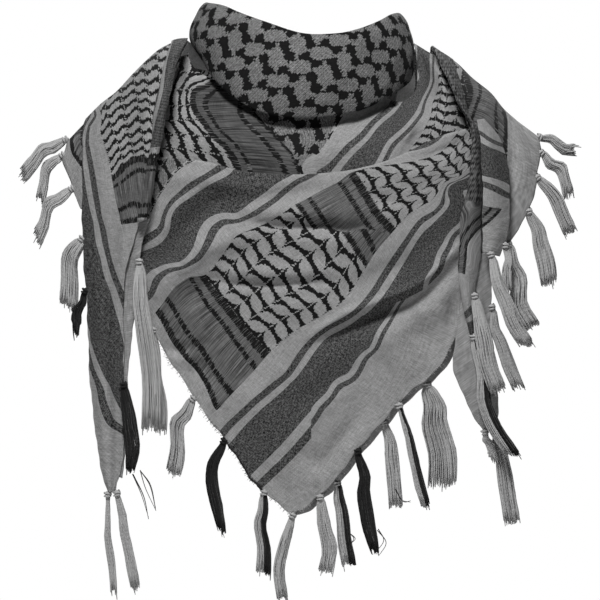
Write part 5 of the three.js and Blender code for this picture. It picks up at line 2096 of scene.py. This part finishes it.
@dataclass
class Tassel:
    """Warp ends gathered by a knot: strands that fan out to an uneven cut end."""

    name: str
    root: tuple[float, float]
    middle: tuple[float, float]
    tip: tuple[float, float]
    width: float
    swing: float
    shade: Shade
    strands: int = 60
    strand_radius: float = 0.82
    head: float = 3.4
    black_share: float = 0.45
    depth_share: float = 0.17
    fan: tuple[float, float, float, float] = (0.24, 0.37, 0.43, 0.47)
    grey_fan: float = 0.5
    black_fan: float = 0.3
    grey_cut: float = -3.0
    black_cut: float = -9.0
    steps: int = 15
    knot_turns: float = 3.4
    knot_steps: int = 46

    def build(self, light: bpy.types.Material, dark: bpy.types.Material) -> list[bpy.types.Object]:
        """Builds the knot and the strands.

        Args:
            light: The grey yarn.
            dark: The black yarn.

        Returns:
            The pieces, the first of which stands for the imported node.
        """
        rng = np.random.default_rng(sum(map(ord, self.name)) * 7 + 3)
        low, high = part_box(self.name)
        y = 1000 * float(high.y) - self.head if self.swing else 500 * float(low.y + high.y)
        head = np.array([self.root[0], y, self.root[1]])
        middle = np.array([self.middle[0], y - self.swing, self.middle[1]])
        tip = np.array([self.tip[0], y - self.swing, self.tip[1]])
        heading = (middle - head) / np.linalg.norm(middle - head)
        side = np.array([-heading[2], 0.0, heading[0]])
        bends = rng.normal(0, 0.11 * self.width + 0.5, size=2)
        first, second = Strands(), Strands()
        all_black = self.shade is Shade.BLACK
        for k in range(self.strands):
            lane = (k + 0.5) / self.strands * 2 - 1
            deep = rng.uniform(-1, 1) * math.sqrt(max(0.05, 1 - lane * lane))
            black = lane > 1 - 2 * self.black_share if self.shade is Shade.BOTH else all_black
            target = second if black else first
            self._strand(target, rng, head, middle, tip, side, lane, deep, bends)
        self._knot(second if all_black else first, head, heading, side)
        pieces = []
        for strands, material, label in ((first, light, "light"), (second, dark, "dark")):
            if strands.count:
                pieces.append(strands.piece(f"{self.name}_{label}", material))
        return pieces

    def _strand(
        self, target: Strands, rng: np.random.Generator, head: Array, middle: Array, tip: Array, side: Array,
        lane: float, deep: float, bends: Array,
    ) -> None:
        """Adds one strand from the knot to the cut end.

        Args:
            target: The strands to add to.
            rng: The tassel's own random numbers.
            head: The knot's place.
            middle: The tassel's bend.
            tip: The tassel's end.
            side: The direction across the tassel.
            lane: Place across, from -1 to 1.
            deep: Place from back to front, from -1 to 1.
            bends: How far the tassel strays above and below its bend.
        """
        depth = self.depth_share * self.width
        wander = rng.normal(0, 0.35, size=(2, 2))
        black = self.shade is Shade.BLACK
        shortest = self.black_cut if black else self.grey_cut
        cut = rng.uniform(shortest, 1.8) + 1.5 * math.sin(3 * lane + self.width)
        cut += rng.uniform(0, 6) if rng.uniform() < 0.1 else 0
        fan = (*self.fan, self.black_fan if black else self.grey_fan)
        along = (tip - middle) / np.linalg.norm(tip - middle)
        neck = head + 0.16 * (middle - head)
        deeper = np.array([0, deep * depth, 0])
        corners = [
            head + side * lane * 1.4 + np.array([0, deep * 1.2, 0]),
            neck + side * lane * fan[0] * self.width + np.array([0, deep * depth * 0.5, 0]),
            0.5 * (neck + middle) + side * (lane * fan[1] * self.width + bends[0]) + deeper,
            middle
            + side * (lane * fan[2] * self.width + wander[0, 0])
            + np.array([0, deep * depth + wander[0, 1], 0]),
            0.5 * (middle + tip)
            + side * (lane * fan[3] * self.width + wander[1, 0] + bends[1])
            + np.array([0, deep * depth + wander[1, 1], 0]),
            tip + side * lane * fan[4] * self.width + along * cut + deeper,
        ]
        steps = self.steps
        line = line_through(np.stack(corners)[None], np.linspace(0, 1, steps))[0]
        phase, turns = rng.uniform(0, math.tau), rng.uniform(2.0, 4.5)
        wave = np.sin(np.linspace(0, turns * math.tau, steps) + phase) * 0.22
        line = line + side[None] * wave[:, None]
        radius = np.full(steps, self.strand_radius * rng.uniform(0.8, 1.15))
        radius[0] *= 0.7
        radius[-1] *= 0.55
        target.add(line, radius, float(np.clip(rng.normal(0.5, 0.22), 0, 1)))

    def _knot(self, target: Strands, head: Array, heading: Array, side: Array) -> None:
        """Adds the turns of yarn that tie the tassel.

        Args:
            target: The strands to add to.
            head: The knot's place.
            heading: The direction from the knot to the bend.
            side: The direction across the tassel.
        """
        turns, steps = self.knot_turns, self.knot_steps
        angle = np.linspace(0, turns * math.tau, steps)
        climb = np.linspace(-0.62, 0.62, steps) * self.head
        swell = self.head * (0.62 + 0.22 * np.cos(np.linspace(-1.4, 1.4, steps)))
        tilt = 0.25 * self.head * np.sin(angle * 0.5)
        line = (
            head[None]
            + heading[None] * (climb + tilt)[:, None]
            + side[None] * (np.cos(angle) * swell)[:, None]
            + np.array([0.0, 1.0, 0.0])[None] * (np.sin(angle) * swell * 0.9)[:, None]
        )
        target.add(line, np.full(steps, 0.95), 0.6, 5)
        core = np.linspace(-1, 1, 7)
        spine = head[None] + heading[None] * (core * self.head * 0.85)[:, None]
        target.add(spine, self.head * 0.66 * np.sqrt(np.maximum(0.08, 1 - core**2)), 0.35, 8)


# Name, first and last place across, number of threads, whether they are black.
HEMS = (
    ("hem_threads_left", -136.0, -106.0, 60, 0.0),
    ("hem_threads_band", -106.0, -44.0, 130, 1.0),
    ("hem_threads_tip", -42.0, 6.0, 60, 0.0),
    ("hem_threads_right", 8.0, 126.0, 120, 0.0),
)
# Three places in squares of the front view, number of threads.
WISPS = (
    ((141, 469), (149, 484), (157, 508), 3),
    ((134, 473), (143, 496), (151, 517), 3),
    ((377, 528), (384, 540), (377, 552), 2),
    ((347, 530), (356, 536), (350, 541), 2),
    ((214, 512), (220, 520), (222, 532), 3),
    ((395, 488), (402, 498), (409, 501), 2),
)


@dataclass
class LooseThreads:
    """Short threads along the hems, the dark cord on one of them, and a few loose wisps."""

    lift: float = 10.2
    radius: float = 0.28
    length: float = 3.6
    cord_radius: float = 0.9

    def build(self, light: bpy.types.Material, dark: bpy.types.Material) -> list[bpy.types.Object]:
        """Builds the threads.

        Args:
            light: The grey yarn.
            dark: The black yarn.

        Returns:
            The pieces.
        """
        pieces = []
        for name, first, final, count, blackness in HEMS:
            strands = self._hem(first, final, count, len(pieces))
            pieces.append(strands.piece(name, dark if blackness else light))
        cord = Strands()
        x = np.linspace(-78, -42, 60)
        path = np.stack([x, x * 0, hem_height(x) - 0.6 + 0.5 * np.sin(np.linspace(0, 26, 60))], axis=1)
        path[:, 1] = FIGURE.front(path[:, 0], path[:, 2], self.lift)
        cord.add(path, self.cord_radius * (1 + 0.25 * np.sin(np.linspace(0, 90, 60))), 0.5, 5)
        pieces.append(cord.piece("hem_cord_dark", dark))
        wisps = Strands()
        rng = np.random.default_rng(11)
        for first, second, third, count in WISPS:
            for _ in range(count):
                shift = rng.normal(0, 1.6, size=(3, 2))
                spots = np.asarray((first, second, third), float) + shift * ((0.3,), (1.0,), (1.4,))
                path = self._on_front(line_through(spots[None], np.linspace(0, 1, 16))[0], 0.0)
                path[:, 1] = float(np.mean(path[:, 1]))
                wisps.add(path, np.linspace(0.55, 0.3, 16), float(rng.uniform(0.2, 0.8)))
        pieces.append(wisps.piece("loose_wisps", dark))
        return pieces

    def _on_front(self, spots: Array, out: float) -> Array:
        """Places of the front view, laid on the bib's layer."""
        x, z = VIEW.x(spots[:, 0]), VIEW.z(spots[:, 1])
        return np.stack([x, FIGURE.front(x, z, self.lift + out), z], axis=-1)

    def _hem(self, first: float, final: float, count: int, seed: int) -> Strands:
        """Short threads that stand out of a stretch of the bib's hem.

        Args:
            first: Where the stretch starts, in millimetres.
            final: Where it ends.
            count: How many threads it has.
            seed: Number of the stretch, for its random numbers.

        Returns:
            The threads.
        """
        rng = np.random.default_rng(40 + seed)
        strands = Strands()
        x = np.sort(rng.uniform(first, final, count))
        rise = (hem_height(x + 2) - hem_height(x - 2)) / 4
        for place, height, slope in zip(x, hem_height(x), rise):
            out = np.array([slope, 0.0, -1.0]) / math.hypot(slope, 1.0)
            root = np.array([place, 0.0, height]) - out * 1.5
            reach = out * self.length * rng.uniform(0.4, 1.2) + rng.normal(0, 0.8, 3) * (1, 0, 1)
            bend = rng.normal(0, 0.4, 3) * (1, 0, 1)
            ends = np.stack([root, root + 0.5 * reach + bend, root + reach])
            path = line_through(ends[None], np.linspace(0, 1, 6))[0]
            path[:, 1] = FIGURE.front(path[:, 0], path[:, 2], self.lift - 0.8)
            strands.add(path, np.linspace(1.0, 0.6, 6) * self.radius, float(rng.uniform(0.2, 0.9)))
        return strands


# Studio


# Name, place, what it looks at, side in metres, power in watts.
LAMPS = (
    ("key_lamp", (-0.25, -1.45, 1.7), (0.0, 0.0, -0.2), 0.6, 66.0),
    ("fill_lamp", (0.3, -2.8, 0.0), (0.0, 0.0, -0.2), 0.7, 2.5),
    ("back_lamp", (0.3, 2.2, 1.6), (0.0, 0.0, 0.0), 1.4, 44.0),
)


@dataclass(frozen=True)
class Studio:
    """Pale floor, soft lamps and the camera."""

    floor_z: float = -0.6
    floor_radius: float = 1.15
    camera_x: float = -0.0106
    camera_z: float = -0.176
    front_y: float = -0.05
    surroundings: float = 0.035

    def build(self) -> None:
        """Builds the floor, the lamps, the surroundings and the camera."""
        self._floor()
        for lamp in LAMPS:
            self._lamp(*lamp)
        self._surroundings()
        self._camera()

    def _floor(self) -> None:
        """A round pale floor, below the camera's view."""
        bpy.ops.mesh.primitive_circle_add(
            vertices=96, radius=self.floor_radius, fill_type="NGON", location=(0, 0, self.floor_z)
        )
        floor = bpy.context.object
        floor.name = "floor"
        made = bpy.data.materials.new("pale_floor")
        made.use_nodes = True
        t = Tree(made.node_tree)
        shader = made.node_tree.nodes["Principled BSDF"]
        place = t.node("ShaderNodeTexCoord").outputs["Object"]
        grain = t.noise(place, 6.0, 3.0)
        tone = t.plus(0.76, t.times(grain, 0.06))
        t.feed(shader.inputs["Base Color"], t.join(tone, tone, tone))
        shader.inputs["Roughness"].default_value = 0.8
        floor.data.materials.append(made)

    @staticmethod
    def _lamp(name: str, place: tuple, aim: tuple, size: float, power: float) -> None:
        """A square soft lamp that looks at a place.

        Args:
            name: The lamp's name.
            place: Where it stands, in metres.
            aim: The place that it looks at.
            size: Its side in metres.
            power: Its power in watts.
        """
        lamp = bpy.data.lights.new(name, "AREA")
        lamp.shape = "SQUARE"
        lamp.size = size
        lamp.energy = power
        made = bpy.data.objects.new(name, lamp)
        made.location = place
        made.rotation_euler = (Vector(aim) - Vector(place)).to_track_quat("-Z", "Y").to_euler()
        bpy.context.scene.collection.objects.link(made)

    def _surroundings(self) -> None:
        """White to the camera, a softer grey as light."""
        world = bpy.data.worlds.new("pale_surroundings")
        world.use_nodes = True
        bpy.context.scene.world = world
        world.node_tree.nodes.clear()
        t = Tree(world.node_tree)
        ray = t.node("ShaderNodeLightPath").outputs["Is Camera Ray"]
        seen, lit = t.node("ShaderNodeBackground"), t.node("ShaderNodeBackground")
        seen.inputs["Color"].default_value = (1.0, 1.0, 1.0, 1.0)
        lit.inputs["Color"].default_value = (1.0, 1.0, 1.0, 1.0)
        lit.inputs["Strength"].default_value = self.surroundings
        mixed = t.node("ShaderNodeMixShader")
        t.feed(mixed.inputs[0], ray)
        t.feed(mixed.inputs[1], lit.outputs[0])
        t.feed(mixed.inputs[2], seen.outputs[0])
        t.feed(t.node("ShaderNodeOutputWorld").inputs["Surface"], mixed.outputs[0])

    def _camera(self) -> None:
        """A level camera, far enough to see the front nearly square on."""
        lens = bpy.data.cameras.new("camera")
        distance = VIEW.distance * MM
        lens.sensor_width = 36.0
        lens.lens = 36.0 * distance / (VIEW.side * VIEW.square * MM)
        lens.clip_end = 50.0
        camera = bpy.data.objects.new("camera", lens)
        camera.location = (self.camera_x, self.front_y - distance, self.camera_z)
        camera.rotation_euler = (math.radians(90), 0, 0)
        bpy.context.scene.collection.objects.link(camera)
        bpy.context.scene.camera = camera
        bpy.context.scene.view_settings.view_transform = "Standard"


# Assembly


@dataclass
class HeadWrap:
    """The whole wrap: its stretches of cloth, its tassels and what stands for which node."""

    def build(self) -> None:
        """Builds, dresses and places every piece."""
        WeaveGroups().build()
        patterned = Cotton("cotton_patterned").material()
        bib = Cotton("cotton_bib", centre=Centre.SCALES).material()
        left = Cotton(
            "cotton_left_tail", scale_length=7.4, scale_width=14.5, sway=0.16, oval=0.34, chain=0.19,
            spike=0.0, lean=0.0, centre=Centre.SCALES,
        ).material()
        collar = Collar()
        self._place(collar.build(patterned), "collar", ["collar"], (0.57, 0.07))
        # The drape's own copy of the cotton, with a darker plain and a darker grey field in its bands:
        # painted shade of the drape that lies under the collar.
        throat = Cotton(
            "cotton_throat_painted_shade", light=0.235, field=0.062, scale_length=9.6, scale_width=12.5, chain=0.2,
            oval=0.34,
        ).material()
        self._place(ThroatDrape(collar).build(throat), "throat_drape", ["throat_drape"], (0.36, 0.10))
        self._place(Bib().build_top(bib), "bib", ["bib"], (0.32, 0.23))
        self._place(Bib().build_under(bib), "bib_under", ["bib_under"], (0.32, 0.21))
        arm_left = ShoulderArm(LEFT_FRONT, 1.0, 0.0, 0.0, Continues.LENGTH)
        self._place(arm_left.build(left), "tail_left_front", ["tail_left_front", "nape_left"], (0.70, 0.085))
        arm_right = ShoulderArm(RIGHT_SHOULDER, -1.0, 13.0, -16.0, Continues.WIDTH)
        nodes = ["tail_right_shoulder", "nape_right"]
        self._place(arm_right.build(patterned), "tail_right_shoulder", nodes, (0.50, 0.095))
        for tail, node, size in (
            (LEFT_PLEAT, "tail_left_pleat", (0.21, 0.02)),
            (LEFT_BACK, "tail_left_back", (0.17, 0.05)),
            (LEFT_FOLD, "tail_left_fold", (0.24, 0.03)),
            (RIGHT_PLEAT, "tail_right_pleat", (0.32, 0.019)),
            (RIGHT_FOLD, "tail_right_fold", (0.15, 0.025)),
            (RIGHT_END, "tail_right_end", (0.17, 0.03)),
        ):
            self._place(tail.build(patterned), node, [node], size)
        self._tassels()

    @staticmethod
    def _place(piece: bpy.types.Object, label: str, nodes: list[str], flat: tuple[float, float]) -> None:
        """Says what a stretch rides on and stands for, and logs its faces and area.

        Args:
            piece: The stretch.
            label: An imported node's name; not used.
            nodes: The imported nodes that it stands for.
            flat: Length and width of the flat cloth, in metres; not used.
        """
        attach(piece, "root")
        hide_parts(*nodes)
        area = sum(p.area for p in piece.data.polygons) / 2
        LOG.info("%s: %d faces, %.4f square metres a side", piece.name, len(piece.data.polygons), area)

    @staticmethod
    def _tassels() -> None:
        """Builds every tassel and says which node it stands for."""
        light = Yarn("yarn_light", 0.36).material()
        dark = Yarn("yarn_black", 0.010, 0.6).material()
        rows = [
            (f"tassel_{group}_{k:02d}", row)
            for group, members in TASSELS.items()
            for k, row in enumerate(members, 1)
        ]
        for name, (*places, width, swing, shade) in rows:
            root, middle, tip = zip(places[::2], places[1::2])
            pieces = Tassel(name, root, middle, tip, width, swing, Shade(shade)).build(light, dark)
            for k, piece in enumerate(pieces):
                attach(piece, "root")
                if k == 0:
                    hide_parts(name)
        LOG.info("tassels: %d", len(rows))
        for piece in LooseThreads().build(light, dark):
            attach(piece, "root")
            LOG.info("%s: %d faces", piece.name, len(piece.data.polygons))


def main() -> None:
    """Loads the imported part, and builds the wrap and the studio."""
    logging.basicConfig(level=logging.INFO, format="%(name)s: %(message)s")
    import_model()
    Studio().build()
    HeadWrap().build()


if __name__ == "__main__":
    main()
